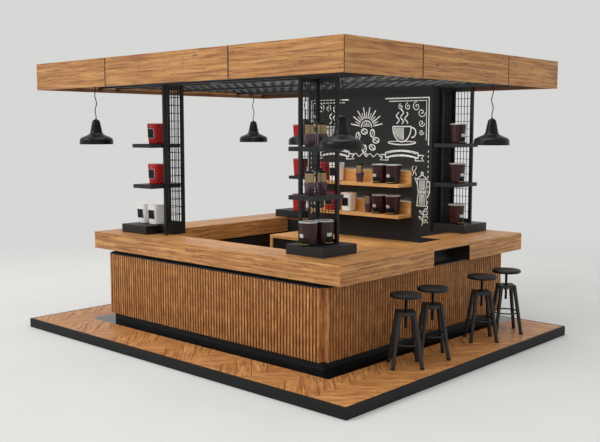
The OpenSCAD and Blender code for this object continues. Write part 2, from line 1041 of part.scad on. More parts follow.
edging_long();
edging_short();
platform_deck();
band_front();
band_sides();
core_front();
core_left();
core_back();
core_right();
core_block();
slats_front();
slats_left();
slats_back();
slats_right();
slats_block();
top_front();
top_left();
top_back();
top_right();
top_block();
counter_flap();
flap_hinge();
gate_leaf();
gate_slats();
gate_hinge();
tower_blocks();
tower_fl_frame();
tower_fr_frame();
tower_bl_frame();
tower_br_frame();
tower_fl_mesh();
tower_fr_mesh();
tower_bl_mesh();
tower_br_mesh();
tower_shelves();
canopy_front();
canopy_back();
canopy_left();
canopy_right();
canopy_joists();
ceiling_left();
ceiling_right();
chalk_wall();
wall_shelves();
bench_top();
bench_cabinet();
lamp_shades();
lamp_flexes();
stool_frames();
seat_1();
seat_2();
seat_3();
seat_4();
makers_red();
makers_white();
makers_brown();
coffee_jars();
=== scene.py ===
import math
import random

import bmesh
import bpy
from mathutils import Matrix, Vector


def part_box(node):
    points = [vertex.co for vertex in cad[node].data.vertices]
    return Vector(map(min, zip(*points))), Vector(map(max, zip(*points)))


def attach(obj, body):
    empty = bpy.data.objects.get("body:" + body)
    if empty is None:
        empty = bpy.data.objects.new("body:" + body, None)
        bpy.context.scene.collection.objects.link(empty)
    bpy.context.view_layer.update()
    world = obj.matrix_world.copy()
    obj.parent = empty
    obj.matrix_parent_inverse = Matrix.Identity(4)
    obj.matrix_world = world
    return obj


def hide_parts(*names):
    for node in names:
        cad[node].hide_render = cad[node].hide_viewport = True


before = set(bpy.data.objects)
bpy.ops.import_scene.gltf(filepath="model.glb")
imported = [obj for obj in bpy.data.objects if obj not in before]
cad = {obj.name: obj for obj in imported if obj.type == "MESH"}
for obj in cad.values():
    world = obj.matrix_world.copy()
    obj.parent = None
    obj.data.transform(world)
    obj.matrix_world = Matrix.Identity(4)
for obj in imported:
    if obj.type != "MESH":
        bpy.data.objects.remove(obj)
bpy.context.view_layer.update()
dice = random.Random(11)

X, Y, Z = 0, 1, 2
# Ways for the grain, which follows the first of the three axes that lies in a face
ALONG_X, ALONG_Y, UPRIGHT = (X, Y, Z), (Y, X, Z), (Z, X, Y)

# Camera: the photograph's place, about 8 m off the front right corner and a little above the counter

lens = bpy.data.cameras.new("camera")
lens.sensor_width = 36.0
lens.lens = 50.93
lens.clip_end = 300.0
camera = bpy.data.objects.new("camera", lens)
camera.location = (6.8276, -7.2790, 2.3893)
camera.rotation_euler = (math.radians(83.894), 0.0, math.radians(42.625))
bpy.context.scene.collection.objects.link(camera)
bpy.context.scene.camera = camera


# Finishes


def rgb(code):
    """Linear colour of an sRGB hex value."""
    parts = [int(code[i:i + 2], 16) / 255 for i in (1, 3, 5)]
    return [c / 12.92 if c <= 0.04045 else ((c + 0.055) / 1.055) ** 2.4 for c in parts] + [1.0]


def add(tree, kind, sockets=None, stops=None, out=0, **settings):
    """Adds a shader node with its settings, values, links and a ramp's stops, and gives one output."""
    node = tree.nodes.new("ShaderNode" + kind)
    for key, value in settings.items():
        setattr(node, key, value)
    for key, value in (sockets or {}).items():
        if isinstance(value, bpy.types.NodeSocket):
            tree.links.new(value, node.inputs[key])
        else:
            node.inputs[key].default_value = value
    if stops:
        band = node.color_ramp.elements
        ends = (band[0], band[1])
        for element, (place, code) in zip(ends, (stops[0], stops[-1])):
            element.position = place
            element.color = rgb(code)
        for place, code in stops[1:-1]:
            band.new(place).color = rgb(code)
    return node.outputs[out] if node.outputs else None


def blank(name):
    """An empty material and its node tree."""
    finish = bpy.data.materials.new(name)
    finish.use_nodes = True
    finish.node_tree.nodes.clear()
    return finish, finish.node_tree


def planed_wood(name, deep, mid, pale, streak, fleck, rough=(0.38, 0.55), spread=0.0, figure_mm=(620, 42),
                streak_mm=(420, 20), fleck_mm=(85, 9), pore_mm=(240, 4), streak_share=0.6, fleck_share=0.75,
                relief_mm=0.3):
    """Planed and oiled or lacquered wood: broad figure, reddish streaks, short dark flecks and fine pores,
    all drawn out along the grain, which is the first axis of the grain map."""
    finish, tree = blank(name)
    spot = add(tree, "UVMap", uv_map="grain")
    layers = []
    for (length, width), detail, warp in ((figure_mm, 3.0, 0.1), (streak_mm, 3.0, 0.1), (fleck_mm, 2.0, 0.3),
                                          (pore_mm, 2.0, 0.1)):
        drawn = add(tree, "Mapping", {"Vector": spot, "Scale": (1000 / length, 1000 / width, 1.0)})
        layers.append(add(tree, "TexNoise", {"Vector": drawn, "Scale": 1.0, "Detail": detail,
                                             "Roughness": 0.55, "Distortion": warp}))
    figure, streaks, flecks, pores = layers
    level = add(tree, "Math", {0: pores, 1: 0.3, 2: figure}, operation="MULTIPLY_ADD")
    middle = 0.65
    if spread:
        tone = add(tree, "Attribute", out="Fac", attribute_name="tone")
        level = add(tree, "Math", {0: tone, 1: spread, 2: level}, operation="MULTIPLY_ADD")
        middle += spread / 2
    reach = 0.2 + spread / 2
    level = add(tree, "Math", {0: level, 1: middle - 0.5}, operation="SUBTRACT")
    colour = add(tree, "ValToRGB", {"Fac": level}, ((0.5 - reach, deep), (0.5, mid), (0.5 + reach, pale)))
    for marks, start, end, share, code in ((streaks, 0.5, 0.62, streak_share, streak),
                                           (flecks, 0.62, 0.72, fleck_share, fleck)):
        shows = add(tree, "MapRange", {"Value": marks, "From Min": start, "From Max": end, "To Min": 0.0,
                                       "To Max": share})
        colour = add(tree, "Mix", {0: shows, 6: colour, 7: rgb(code)}, out=2, data_type="RGBA")
    gloss = add(tree, "MapRange", {"Value": pores, "From Min": 0.3, "From Max": 0.7, "To Min": rough[0],
                                   "To Max": rough[1]})
    relief = add(tree, "Bump", {"Height": pores, "Distance": relief_mm / 1000, "Strength": 0.6})
    shader = add(tree, "BsdfPrincipled", {"Base Color": colour, "Roughness": gloss, "Normal": relief,
                                          "IOR": 1.45})
    add(tree, "OutputMaterial", {"Surface": shader})
    return finish


def coated(name, shade, tint, rough, patch_mm=300, grain_mm=8, relief_mm=0.05, **sockets):
    """A made surface in two close shades: soft patches of handling in colour and gloss, over a fine grain."""
    finish, tree = blank(name)
    spot = add(tree, "TexCoord", out="Object")
    patch = add(tree, "TexNoise", {"Vector": spot, "Scale": 1000 / patch_mm, "Detail": 4.0})
    grain = add(tree, "TexNoise", {"Vector": spot, "Scale": 1000 / grain_mm, "Detail": 2.0})
    colour = add(tree, "ValToRGB", {"Fac": patch}, ((0.32, shade), (0.68, tint)))
    gloss = add(tree, "MapRange", {"Value": patch, "From Min": 0.3, "From Max": 0.7, "To Min": rough[0],
                                   "To Max": rough[1]})
    relief = add(tree, "Bump", {"Height": grain, "Distance": relief_mm / 1000, "Strength": 0.5})
    known = {key.replace("_", " "): value for key, value in sockets.items()}
    shader = add(tree, "BsdfPrincipled", {"Base Color": colour, "Roughness": gloss, "Normal": relief,
                                          **known})
    add(tree, "OutputMaterial", {"Surface": shader})
    return finish


# Golden brown veneer with a satin lacquer: reddish streaks, short dark flecks, a soft sheen
canopy_veneer = planed_wood("walnut_veneer_lacquered", "#9f693a", "#bd854c", "#d6a363", "#8d5531", "#532d18",
                            (0.4, 0.55), spread=0.04, figure_mm=(900, 36), streak_mm=(460, 21),
                            fleck_mm=(120, 14), streak_share=0.75, fleck_share=0.85)
# The same veneer on the bar, handled more: deeper flecks and a little more shine
counter_veneer = planed_wood("walnut_veneer_waxed", "#9f6936", "#c0864b", "#dca865", "#87522c", "#4b2914",
                             (0.34, 0.5), spread=0.04, figure_mm=(800, 34), streak_mm=(400, 20),
                             fleck_mm=(110, 14), streak_share=0.75, fleck_share=0.85)
# Oiled upright slats sawn from the same boards: dark patches run over several slats, tints change a little
slat_wood = planed_wood("walnut_slats_oiled", "#935e32", "#bb8048", "#dba764", "#804b2a", "#4c2914",
                        (0.45, 0.6), spread=0.10, figure_mm=(130, 80), streak_mm=(230, 15), fleck_mm=(60, 12),
                        streak_share=0.6, fleck_share=0.8)
# Oiled parquet: orange brown boards, streaked and flecked, each with its own tint
floor_wood = planed_wood("walnut_parquet_oiled", "#9f6536", "#c1864d", "#dba366", "#87502a", "#583116",
                         (0.36, 0.5), spread=0.09, figure_mm=(420, 45), streak_mm=(240, 26),
                         fleck_mm=(95, 15), streak_share=0.75, fleck_share=0.8)
# Light oiled boards of the wall shelves and the bench
shelf_wood = planed_wood("beech_boards_oiled", "#cb8f4e", "#e3a965", "#f4c282", "#bd7f43", "#935c2b",
                         (0.42, 0.55), spread=0.05, streak_share=0.4, fleck_share=0.4)
# Dull dark boards inside the canopy: painted shade on its inner faces
shade_lining_wood = planed_wood("pine_lining_painted_shade", "#573820", "#6d4a2c", "#815b39", "#4c301a", "#362110",
                          (0.5, 0.65))
# Stained plywood under the parquet: the dark lines between the boards; behind the slats its dark is painted
# shade
ply_dark_and_groove_shade = planed_wood("birch_plywood_stained_and_painted_shade", "#2a1c11", "#382617", "#46311f", "#23170e", "#1a110a",
                       (0.6, 0.75))

# Pressed black laminate: nearly even, dull, with a faint emboss
laminate = coated("laminate_pressed_black", "#161617", "#1e1e1f", (0.46, 0.6), 420, 9, 0.12, IOR=1.4)
edge_laminate = coated("laminate_edged_black", "#101112", "#18191a", (0.42, 0.56), 500, 9, 0.12, IOR=1.45)
kick_laminate = coated("laminate_glued_black", "#0a0a0b", "#111112", (0.5, 0.62), 500, 9, 0.12, IOR=1.36)
# Polished black acrylic in the floor: mirrors the pale room at low angles
floor_gloss = coated("acrylic_polished_black", "#0b0b0b", "#111111", (0.05, 0.12), 260, 40, 0.02, IOR=1.49)
# Black powder coat on square tube and wire: even, with a fine orange peel
powder = coated("steel_powder_coated_black", "#0b0b0b", "#121212", (0.42, 0.56), 300, 6, 0.15, IOR=1.42)
wire_coat = coated("wire_dip_coated_black", "#0c0c0c", "#141414", (0.4, 0.55), 200, 6, 0.1, IOR=1.42)
# Rolled chalkboard paint with wiped dust in it
board_paint = coated("chalkboard_paint_rolled", "#1b1d1e", "#272929", (0.78, 0.92), 520, 12, 0.3, IOR=1.45)
# Soft chalk, thin where the paint's grain shows through
chalk = coated("chalk_rubbed", "#d3d2cc", "#fbfaf5", (0.9, 1.0), 26, 9, 0.4, IOR=1.4)
# Sprayed satin enamel on spun steel
enamel = coated("enamel_sprayed_black", "#050505", "#080808", (0.32, 0.37), 600, 5, 0.004, IOR=1.36)
# Braided cotton on the lamp flexes
braid = coated("cotton_braided_black", "#242120", "#3a3533", (0.8, 0.95), 14, 3, 0.6, IOR=1.45)
# Opal glass of the bulbs
opal = coated("glass_opal_pressed", "#dedbd2", "#efece4", (0.12, 0.2), 60, 10, 0.02, IOR=1.5)
# Satin black paint on the stools, worn a little paler in patches
stool_paint = coated("steel_painted_satin_black", "#1b1b1b", "#252423", (0.38, 0.55), 120, 7, 0.12, IOR=1.5)
seat_paint = coated("beech_seat_stained_black", "#0e0d0d", "#151414", (0.42, 0.56), 90, 12, 0.15, IOR=1.4)
spindle_steel = coated("steel_thread_blackened", "#0b0b0b", "#121212", (0.34, 0.46), 40, 6, 0.05, IOR=1.45)
rubber = coated("rubber_moulded_black", "#121212", "#181818", (0.7, 0.85), 60, 5, 0.1, IOR=1.5)
# Gloss moulded housings of the coffee makers
red_gloss = coated("abs_moulded_red", "#a20d11", "#b41317", (0.32, 0.38), 600, 4, 0.002, IOR=1.36)
white_gloss = coated("abs_moulded_white", "#f4f3f0", "#fcfbf9", (0.3, 0.36), 600, 4, 0.002, IOR=1.53)
brown_gloss = coated("abs_moulded_brown", "#2f1516", "#3b1d1e", (0.24, 0.3), 600, 4, 0.002, IOR=1.4)
black_gloss = coated("abs_moulded_black", "#050505", "#090909", (0.42, 0.48), 600, 4, 0.002, IOR=1.3)
pale_trim = coated("plastic_silver_painted", "#bfbfbe", "#d9d9d8", (0.24, 0.36), 60, 8, 0.02, Metallic=0.25)
lid_grey = coated("plastic_moulded_grey", "#8d8d8c", "#a3a3a1", (0.3, 0.42), 60, 8, 0.02, IOR=1.5)
gold_trim = coated("brass_lacquered", "#9a7a42", "#c2a063", (0.25, 0.38), 60, 8, 0.02, Metallic=0.85)
# Plum glass and bronze tops of the jars
plum_glass = coated("glass_tinted_plum", "#4a353f", "#604a56", (0.12, 0.18), 300, 5, 0.002, IOR=1.5)
bronze = coated("aluminium_anodised_bronze", "#927a59", "#a68d6b", (0.22, 0.3), 300, 4, 0.004, Metallic=0.7)
# Zinc plate on the ceiling's wires: dull grey
zinc = coated("wire_zinc_plated", "#77787a", "#939496", (0.4, 0.55), 120, 6, 0.05, Metallic=0.3)
# Plain steel of the hinges
steel = coated("steel_brushed", "#8d8e90", "#b0b1b2", (0.28, 0.42), 30, 4, 0.06, Metallic=1.0)

# The light strip's milky cover glows evenly
light_strip, tree = blank("acrylic_diffuser_lit")
cloud = add(tree, "TexNoise", {"Vector": add(tree, "TexCoord", out="Object"), "Scale": 20.0})
warm = add(tree, "ValToRGB", {"Fac": cloud}, ((0.3, "#f4ecdf"), (0.7, "#fff6ea")))
cover = add(tree, "BsdfPrincipled", {"Base Color": warm, "Roughness": 0.5, "Emission Color": warm,
                                     "Emission Strength": 34.0})
add(tree, "OutputMaterial", {"Surface": cover})


# Ways of making pieces


def fresh():
    """An empty bmesh with the grain map and the tint mark of boards."""
    bm = bmesh.new()
    bm.loops.layers.uv.new("grain")
    bm.faces.layers.float.new("tone")
    return bm


def lay_grain(bm, faces, order=ALONG_X, tone=0.5, matched=False):
    """Runs the grain of each face along the first axis of order that lies in the face. Matched boards are
    cut from one sheet, so that the grain runs on from one to the next."""
    grain, mark = bm.loops.layers.uv["grain"], bm.faces.layers.float["tone"]
    shift = (0.0, 0.0) if matched else (dice.uniform(0, 9), dice.uniform(0, 9))
    for face in faces:
        face.normal_update()
        out = max((X, Y, Z), key=lambda axis: abs(face.normal[axis]))
        along = next(axis for axis in order if axis != out)
        across = 3 - out - along
        face[mark] = tone
        for loop in face.loops:
            loop[grain].uv = (loop.vert.co[along] + shift[0], loop.vert.co[across] + shift[1])


def plank(bm, low, high, order=ALONG_X, tone=0.5, place=None, matched=False):
    """A board between two corners, and then moved by place."""
    low, high = Vector(low), Vector(high)
    size = high - low
    made = bmesh.ops.create_cube(bm, size=1.0, matrix=Matrix.Translation((low + high) / 2)
                                 @ Matrix.Diagonal(size).to_4x4())["verts"]
    lay_grain(bm, {f for v in made for f in v.link_faces}, order, tone, matched)
    if place is not None:
        bmesh.ops.transform(bm, matrix=place, verts=made)
    return made


def trimmed(low, high, *spans):
    """The corners of a box after some of its axes got a new start and end."""
    a, b = Vector(low), Vector(high)
    for axis, start, end in spans:
        a[axis], b[axis] = start, end
    return a, b


def foot_of(low, high):
    """The middle of a box's underside."""
    return Vector(((low.x + high.x) / 2, (low.y + high.y) / 2, low.z))


def turned(bm, outline, at, steps=40, closed=False):
    """Spins a half outline of radius and height about an upright line."""
    points = [bm.verts.new((at[0] + r, at[1], at[2] + z)) for r, z in outline]
    lines = [bm.edges.new(pair) for pair in zip(points, points[1:])]
    if closed:
        lines.append(bm.edges.new((points[-1], points[0])))
    before = set(bm.verts) - set(points)
    bmesh.ops.spin(bm, geom=points + lines, cent=at, axis=(0, 0, 1), angle=math.tau, steps=steps,
                   use_merge=True)
    made = [v for v in bm.verts if v not in before]
    bmesh.ops.remove_doubles(bm, verts=made, dist=1e-6)
    made = [v for v in bm.verts if v not in before]
    bmesh.ops.recalc_face_normals(bm, faces=list({f for v in made for f in v.link_faces}))


def swept(bm, outline, at, middle, width, steps=8):
    """Sweeps a closed outline of radius and height about an upright line, width to both sides of middle."""
    start = Matrix.Translation(at) @ Matrix.Rotation(middle - width, 4, "Z")
    points = [bm.verts.new(start @ Vector((r, 0.0, z))) for r, z in outline]
    lines = [bm.edges.new(pair) for pair in zip(points, points[1:] + points[:1])]
    before = set(bm.verts) - set(points)
    cap = bmesh.ops.contextual_create(bm, geom=lines)["faces"]
    bmesh.ops.spin(bm, geom=points + lines + cap, cent=at, axis=(0, 0, 1), angle=2 * width, steps=steps)
    made = [v for v in bm.verts if v not in before]
    bmesh.ops.recalc_face_normals(bm, faces=list({f for v in made for f in v.link_faces}))


def cut(bm, made, spot, out):
    """Cuts boards off at a plane that faces out, and closes the cut."""
    lines, faces = {e for v in made for e in v.link_edges}, {f for v in made for f in v.link_faces}
    done = bmesh.ops.bisect_plane(bm, geom=[*made, *lines, *faces], dist=1e-6, plane_co=spot, plane_no=out,
                                  clear_outer=True)["geom_cut"]
    rim = [e for e in done if isinstance(e, bmesh.types.BMEdge)]
    lay_grain(bm, bmesh.ops.contextual_create(bm, geom=rim)["faces"], UPRIGHT)


def rods(paths, radius, sides=0):
    """A bmesh of round rods along paths of points."""
    curve = bpy.data.curves.new("rods", "CURVE")
    curve.dimensions = "3D"
    curve.bevel_depth = radius
    curve.bevel_resolution = sides
    curve.use_fill_caps = True
    for path in paths:
        line = curve.splines.new("POLY")
        line.points.add(len(path) - 1)
        for point, spot in zip(line.points, path):
            point.co = (*spot, 1.0)
    holder = bpy.data.objects.new("rods", curve)
    mesh = bpy.data.meshes.new_from_object(holder)
    bm = fresh()
    bm.from_mesh(mesh)
    bpy.data.objects.remove(holder)
    bpy.data.curves.remove(curve)
    bpy.data.meshes.remove(mesh)
    return bm


def piece(bm, name, finish, body="kiosk", instead_of=(), edge=0.0, segments=1, thick=0.0,
          round_to=None):
    """Makes a bmesh one piece of the object: its finish, eased edges, thickness and the body it rides on."""
    if round_to is not None:
        for face in bm.faces:
            face.smooth = True
        for line in bm.edges:
            line.smooth = len(line.link_faces) == 2 and line.calc_face_angle() < math.radians(round_to)
    mesh = bpy.data.meshes.new(name)
    bm.to_mesh(mesh)
    bm.free()
    mesh.materials.append(finish)
    thing = bpy.data.objects.new(name, mesh)
    bpy.context.scene.collection.objects.link(thing)
    if thick:
        board = thing.modifiers.new("board", "SOLIDIFY")
        board.thickness = thick
        board.offset = -1.0
    if edge:
        eased = thing.modifiers.new("eased", "BEVEL")
        eased.width = edge
        eased.segments = segments
        eased.limit_method = "ANGLE"
        eased.angle_limit = math.radians(40)
    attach(thing, body)
    if instead_of:
        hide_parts(*instead_of)
    return thing


def merged(node):
    """A copy of a node's mesh with its flat faces made whole."""
    bm = fresh()
    bm.from_mesh(cad[node].data)
    bmesh.ops.remove_doubles(bm, verts=bm.verts, dist=1e-5)
    bmesh.ops.dissolve_limit(bm, angle_limit=math.radians(1), verts=bm.verts, edges=bm.edges)
    return bm


def eased_copy(node, finish, edge, order=ALONG_X, body="kiosk", matched=False):
    """The node's own shape with eased edges and its grain laid along an axis."""
    bm = merged(node)
    lay_grain(bm, bm.faces, order, matched=matched)
    return piece(bm, node + "_board", finish, body, (node,), edge, segments=2)


def solids_in(node):
    """Lowest and highest corner of each solid of a node."""
    bm = merged(node)
    left, found = set(bm.verts), []
    while left:
        island, edge = set(), [left.pop()]
        while edge:
            spot = edge.pop()
            island.add(spot)
            for line in spot.link_edges:
                other = line.other_vert(spot)
                if other in left:
                    left.remove(other)
                    edge.append(other)
        corners = [v.co for v in island]
        found.append((Vector(map(min, zip(*corners))), Vector(map(max, zip(*corners)))))
    bm.free()
    return sorted(found, key=lambda b: tuple(round(c, 3) for c in b[0]))


def paint(finish, *names):
    """Gives nodes that keep their own shape a finish."""
    for name in names:
        mesh = cad[name].data
        if not mesh.materials:
            mesh.materials.append(finish)
        for place in range(len(mesh.materials)):
            mesh.materials[place] = finish


# Platform: herringbone boards on plywood sheets inside the black edging

BOARD_W = 0.1515  # a board's width; it is four widths long
BOARD_START = 0.639  # where the rows start across the platform
BOARD_REACH = 0.33  # from a board's middle to past its far corner
ROWS, REPEATS = 60, 12  # rows and repeats on each side of the middle, more than the platform needs
SEAM = 0.0022  # half the dark line between two boards
SHEET_GAP = 0.002  # between two sheets of plywood
deck_low, deck_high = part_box("platform_deck")
front_low, front_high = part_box("band_front")
band_low, band_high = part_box("band_sides")
FLOOR_Z = deck_high.z
board_t = FLOOR_Z - band_low.z
side_bands = solids_in("band_sides")
left_in, right_in = side_bands[0][1].x, side_bands[1][0].x


def parquet(name, x0, x1, y0, y1):
    """Boards laid at 45 degrees in pairs of rows, cut off at the four sides of a zone."""
    bm = fresh()
    grain, mark = bm.loops.layers.uv["grain"], bm.faces.layers.float["tone"]
    lay = Matrix.Rotation(math.radians(45), 4, "Z")
    for row in range(-ROWS, ROWS):
        for repeat in range(-REPEATS, REPEATS):
            for a0, a1, b0, b1 in ((row, row + 4, row, row + 1), (row + 4, row + 5, row - 3, row + 1)):
                a0, a1 = (a0 + 8 * repeat) * BOARD_W, (a1 + 8 * repeat) * BOARD_W
                b0, b1 = b0 * BOARD_W + BOARD_START, b1 * BOARD_W + BOARD_START
                spot = lay @ Vector(((a0 + a1) / 2, (b0 + b1) / 2, FLOOR_Z))
                if not (x0 - BOARD_REACH < spot.x < x1 + BOARD_REACH
                        and y0 - BOARD_REACH < spot.y < y1 + BOARD_REACH):
                    continue
                size = Matrix.Diagonal((a1 - a0 - 2 * SEAM, b1 - b0 - 2 * SEAM, 1, 1))
                made = bmesh.ops.create_grid(bm, x_segments=1, y_segments=1, size=0.5,
                                             matrix=Matrix.Translation(spot) @ lay @ size)["verts"]
                shift, tone = (dice.uniform(0, 9), dice.uniform(0, 9)), dice.random()
                for face in {f for v in made for f in v.link_faces}:
                    face[mark] = tone
                    for loop in face.loops:
                        flat = lay.inverted() @ loop.vert.co
                        run = (flat.x, flat.y) if a1 - a0 > b1 - b0 else (flat.y, flat.x)
                        loop[grain].uv = (run[0] + shift[0], run[1] + shift[1])
    for spot, out in (((x0, 0, 0), (-1, 0, 0)), ((x1, 0, 0), (1, 0, 0)),
                      ((0, y0, 0), (0, -1, 0)), ((0, y1, 0), (0, 1, 0))):
        bmesh.ops.bisect_plane(bm, geom=bm.verts[:] + bm.edges[:] + bm.faces[:], dist=1e-6, plane_co=spot,
                               plane_no=out, clear_outer=True)
    return piece(bm, name, floor_wood, edge=0.0008, thick=board_t)


parquet("parquet_front", deck_low.x, deck_high.x, deck_low.y, front_low.y)
parquet("parquet_left", deck_low.x, band_low.x, front_low.y, deck_high.y)
parquet("parquet_right", band_high.x, deck_high.x, front_low.y, deck_high.y)
parquet("parquet_inside", left_in, right_in, front_high.y, deck_high.y)

sheet = Vector(((deck_high.x - deck_low.x) / 4, (deck_high.y - deck_low.y) / 2, band_low.z - deck_low.z))
bm = fresh()
for i in range(4):
    for j in range(2):
        corner = Vector((deck_low.x + i * sheet.x, deck_low.y + j * sheet.y, deck_low.z))
        plank(bm, corner, corner + sheet - Vector((SHEET_GAP, SHEET_GAP, 0)))
piece(bm, "subfloor_sheets", ply_dark_and_groove_shade, instead_of=("platform_deck",), edge=0.001)

for node in ("edging_long", "edging_short"):
    eased_copy(node, kick_laminate, 0.0015)
for node in ("band_front", "band_sides"):
    eased_copy(node, floor_gloss, 0.0008)


# Counter: upright slats on a dark backing under a black cap, both partly painted shade, black plinth,
# veneered boards

SLAT, SLAT_PITCH = 0.0238, 0.0425  # a slat's width and the usual step to the next
SLAT_BACK, SLAT_TOP = 0.010, 0.015  # thickness of the backing and height of the cap


def slats(node, run, out, side, body="kiosk"):
    """Upright slats along an axis on a backing stained dark, which is painted shade in the grooves, under a
    black cap that also stands for the shadow gap below the countertop. The two end slats are as deep as the
    cladding."""
    low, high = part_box(node)
    top, long = high.z - SLAT_TOP, high[run] - low[run]
    count = round((long - SLAT) / SLAT_PITCH)
    pitch = (long - SLAT) / count
    back = (low[out], low[out] + SLAT_BACK) if side > 0 else (high[out] - SLAT_BACK, high[out])
    front = (back[1], high[out]) if side > 0 else (low[out], back[0])
    bm = fresh()
    for i in range(count + 1):
        start = low[run] + i * pitch
        deep = front if 0 < i < count else (low[out], high[out])
        corners = trimmed(low, high, (run, start, start + SLAT), (out, *deep), (Z, low.z, top))
        plank(bm, *corners, UPRIGHT, dice.random(), matched=True)
    piece(bm, node + "_strips", slat_wood, body, (node,), 0.0012)
    # The backing's dark stain is painted shade in the grooves between the slats
    bm = fresh()
    third = (top - low.z) / 3
    for i in range(3):
        plank(bm, *trimmed(low, high, (run, low[run] + SLAT, high[run] - SLAT), (out, *back),
                           (Z, low.z + i * third, low.z + (i + 1) * third)), (run, Z, out))
    piece(bm, node + "_backing_painted_shade", ply_dark_and_groove_shade, body)
    # Black cap on the slats' tops: a black board that also stands for the shadow gap under the countertop,
    # painted shadow
    bm = fresh()
    for i in range(3):
        plank(bm, *trimmed(low, high, (run, low[run] + long * i / 3, low[run] + long * (i + 1) / 3),
                           (Z, top, high.z)), (run, out, Z))
    piece(bm, node + "_cap", laminate, body, edge=0.0008)


slats("slats_front", X, Y, -1)
slats("slats_back", X, Y, 1)
slats("slats_left", Y, X, -1)
slats("slats_right", Y, X, 1)
slats("slats_block", Y, X, 1)
slats("gate_slats", Y, X, 1, "gate")

for node, order in (("top_front", ALONG_X), ("top_back", ALONG_X), ("top_left", ALONG_Y),
                    ("top_right", ALONG_Y), ("top_block", ALONG_Y)):
    eased_copy(node, counter_veneer, 0.0015, order, matched=True)
eased_copy("counter_flap", counter_veneer, 0.001, ALONG_Y, "flap", matched=True)
paint(laminate, "core_front", "core_left", "core_back", "core_right", "core_block", "gate_leaf")
paint(steel, "flap_hinge", "gate_hinge")

# Black kick boards on the plinth, over the joints between the cabinets
KICK_T = 0.0015
kick_low, kick_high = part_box("core_front")[0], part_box("core_back")[1]
kick_right, kick_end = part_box("slats_right")[0].x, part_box("slats_right")[1].y - 0.006
kick_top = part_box("slats_front")[0].z - 0.001
bm = fresh()
for x0, y0, x1, y1, order in (
        (kick_low.x - KICK_T, kick_low.y - KICK_T, kick_right + KICK_T, kick_low.y, ALONG_X),
        (kick_low.x - KICK_T, kick_low.y, kick_low.x, kick_high.y, ALONG_Y),
        (kick_right, kick_low.y, kick_right + KICK_T, kick_end, ALONG_Y)):
    plank(bm, (x0, y0, kick_low.z), (x1, y1, kick_top), order)
piece(bm, "kick_boards", laminate, edge=0.0004)

# Black plate as painted shade on the counter's end beside the entrance, below the flap where the flap lies in
# front of it
end_low, end_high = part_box("top_block")
flap_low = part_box("counter_flap")[0]
bm = fresh()
for x0, x1, top in ((end_low.x, flap_low.x - 0.002, end_high.z - 0.001),
                    (flap_low.x - 0.002, end_high.x - 0.001, flap_low.z - 0.008)):
    plank(bm, (x0, end_low.y - 0.0012, end_low.z), (x1, end_low.y + 0.0005, top), UPRIGHT)
piece(bm, "entrance_painted_shade", laminate, edge=0.0003)


# Shelf towers

TOWERS = ("fl", "fr", "bl", "br")
for tower in TOWERS:
    eased_copy(f"tower_{tower}_frame", powder, 0.002)
paint(wire_coat, *(f"tower_{tower}_mesh" for tower in TOWERS))
eased_copy("tower_blocks", edge_laminate, 0.002)
eased_copy("tower_shelves", edge_laminate, 0.0015)


# Canopy: veneered panels with open joints, mitred at the corners, and a wire ceiling

PANEL_SEAM = 0.0080  # half the open joint between two panels
CORNER_SEAM = 0.0042  # how far a mitred end stops short of its corner
TONGUE_IN, TONGUE_END = 0.003, 0.004  # how deep the black tongues lie, and how far short they stop
CORNER_TONGUE = (0.014, 0.024)  # a corner's tongue, from its outer corner inwards
tongues = fresh()


def canopy_side(node, run, joints, side):
    """One side of the canopy from panels that stop short of each other at the joints, over black tongues."""
    low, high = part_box(node)
    out = X + Y - run
    stops = [low[run], *joints, high[run]]
    last = len(stops) - 2
    bm = fresh()
    for i, (start, end) in enumerate(zip(stops, stops[1:])):
        panel = (run, start + (PANEL_SEAM if i else 0.0), end - (PANEL_SEAM if i < last else 0.0))
        made = plank(bm, *trimmed(low, high, panel), (run, out, Z), dice.random())
        for way, mitred in ((-1, i == 0), (1, i == last)):
            if mitred:
                spot, lean = Vector(high if side > 0 else low), Vector((0, 0, 0))
                spot[run] = (high[run] if way > 0 else low[run]) - way * CORNER_SEAM
                lean[run], lean[out] = way, -side
                cut(bm, made, spot, lean)
    for joint in joints:
        plank(tongues, *trimmed(low, high, (run, joint - PANEL_SEAM, joint + PANEL_SEAM),
                                (out, low[out] + TONGUE_IN, high[out] - TONGUE_IN),
                                (Z, low.z + TONGUE_END, high.z - TONGUE_END)), UPRIGHT)
    return piece(bm, node + "_panels", canopy_veneer, instead_of=(node,), edge=0.0012)


for node, run, joint, side in (("canopy_front", X, 0.975, -1), ("canopy_back", X, 0.975, 1),
                               ("canopy_left", Y, 0.78, -1), ("canopy_right", Y, 0.78, 1)):
    canopy_side(node, run, (-joint, joint), side)
front_panel, back_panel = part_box("canopy_front"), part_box("canopy_back")
for corner_x, way_x in ((front_panel[0].x, 1), (front_panel[1].x, -1)):
    for corner_y, way_y in ((front_panel[0].y, 1), (back_panel[1].y, -1)):
        a, b = (Vector((corner_x + way_x * inset, corner_y + way_y * inset, z)) for inset, z in
                zip(CORNER_TONGUE, (front_panel[0].z + TONGUE_END, front_panel[1].z - TONGUE_END)))
        plank(tongues, map(min, zip(a, b)), map(max, zip(a, b)), UPRIGHT)
piece(tongues, "canopy_tongues", laminate, edge=0.0005)

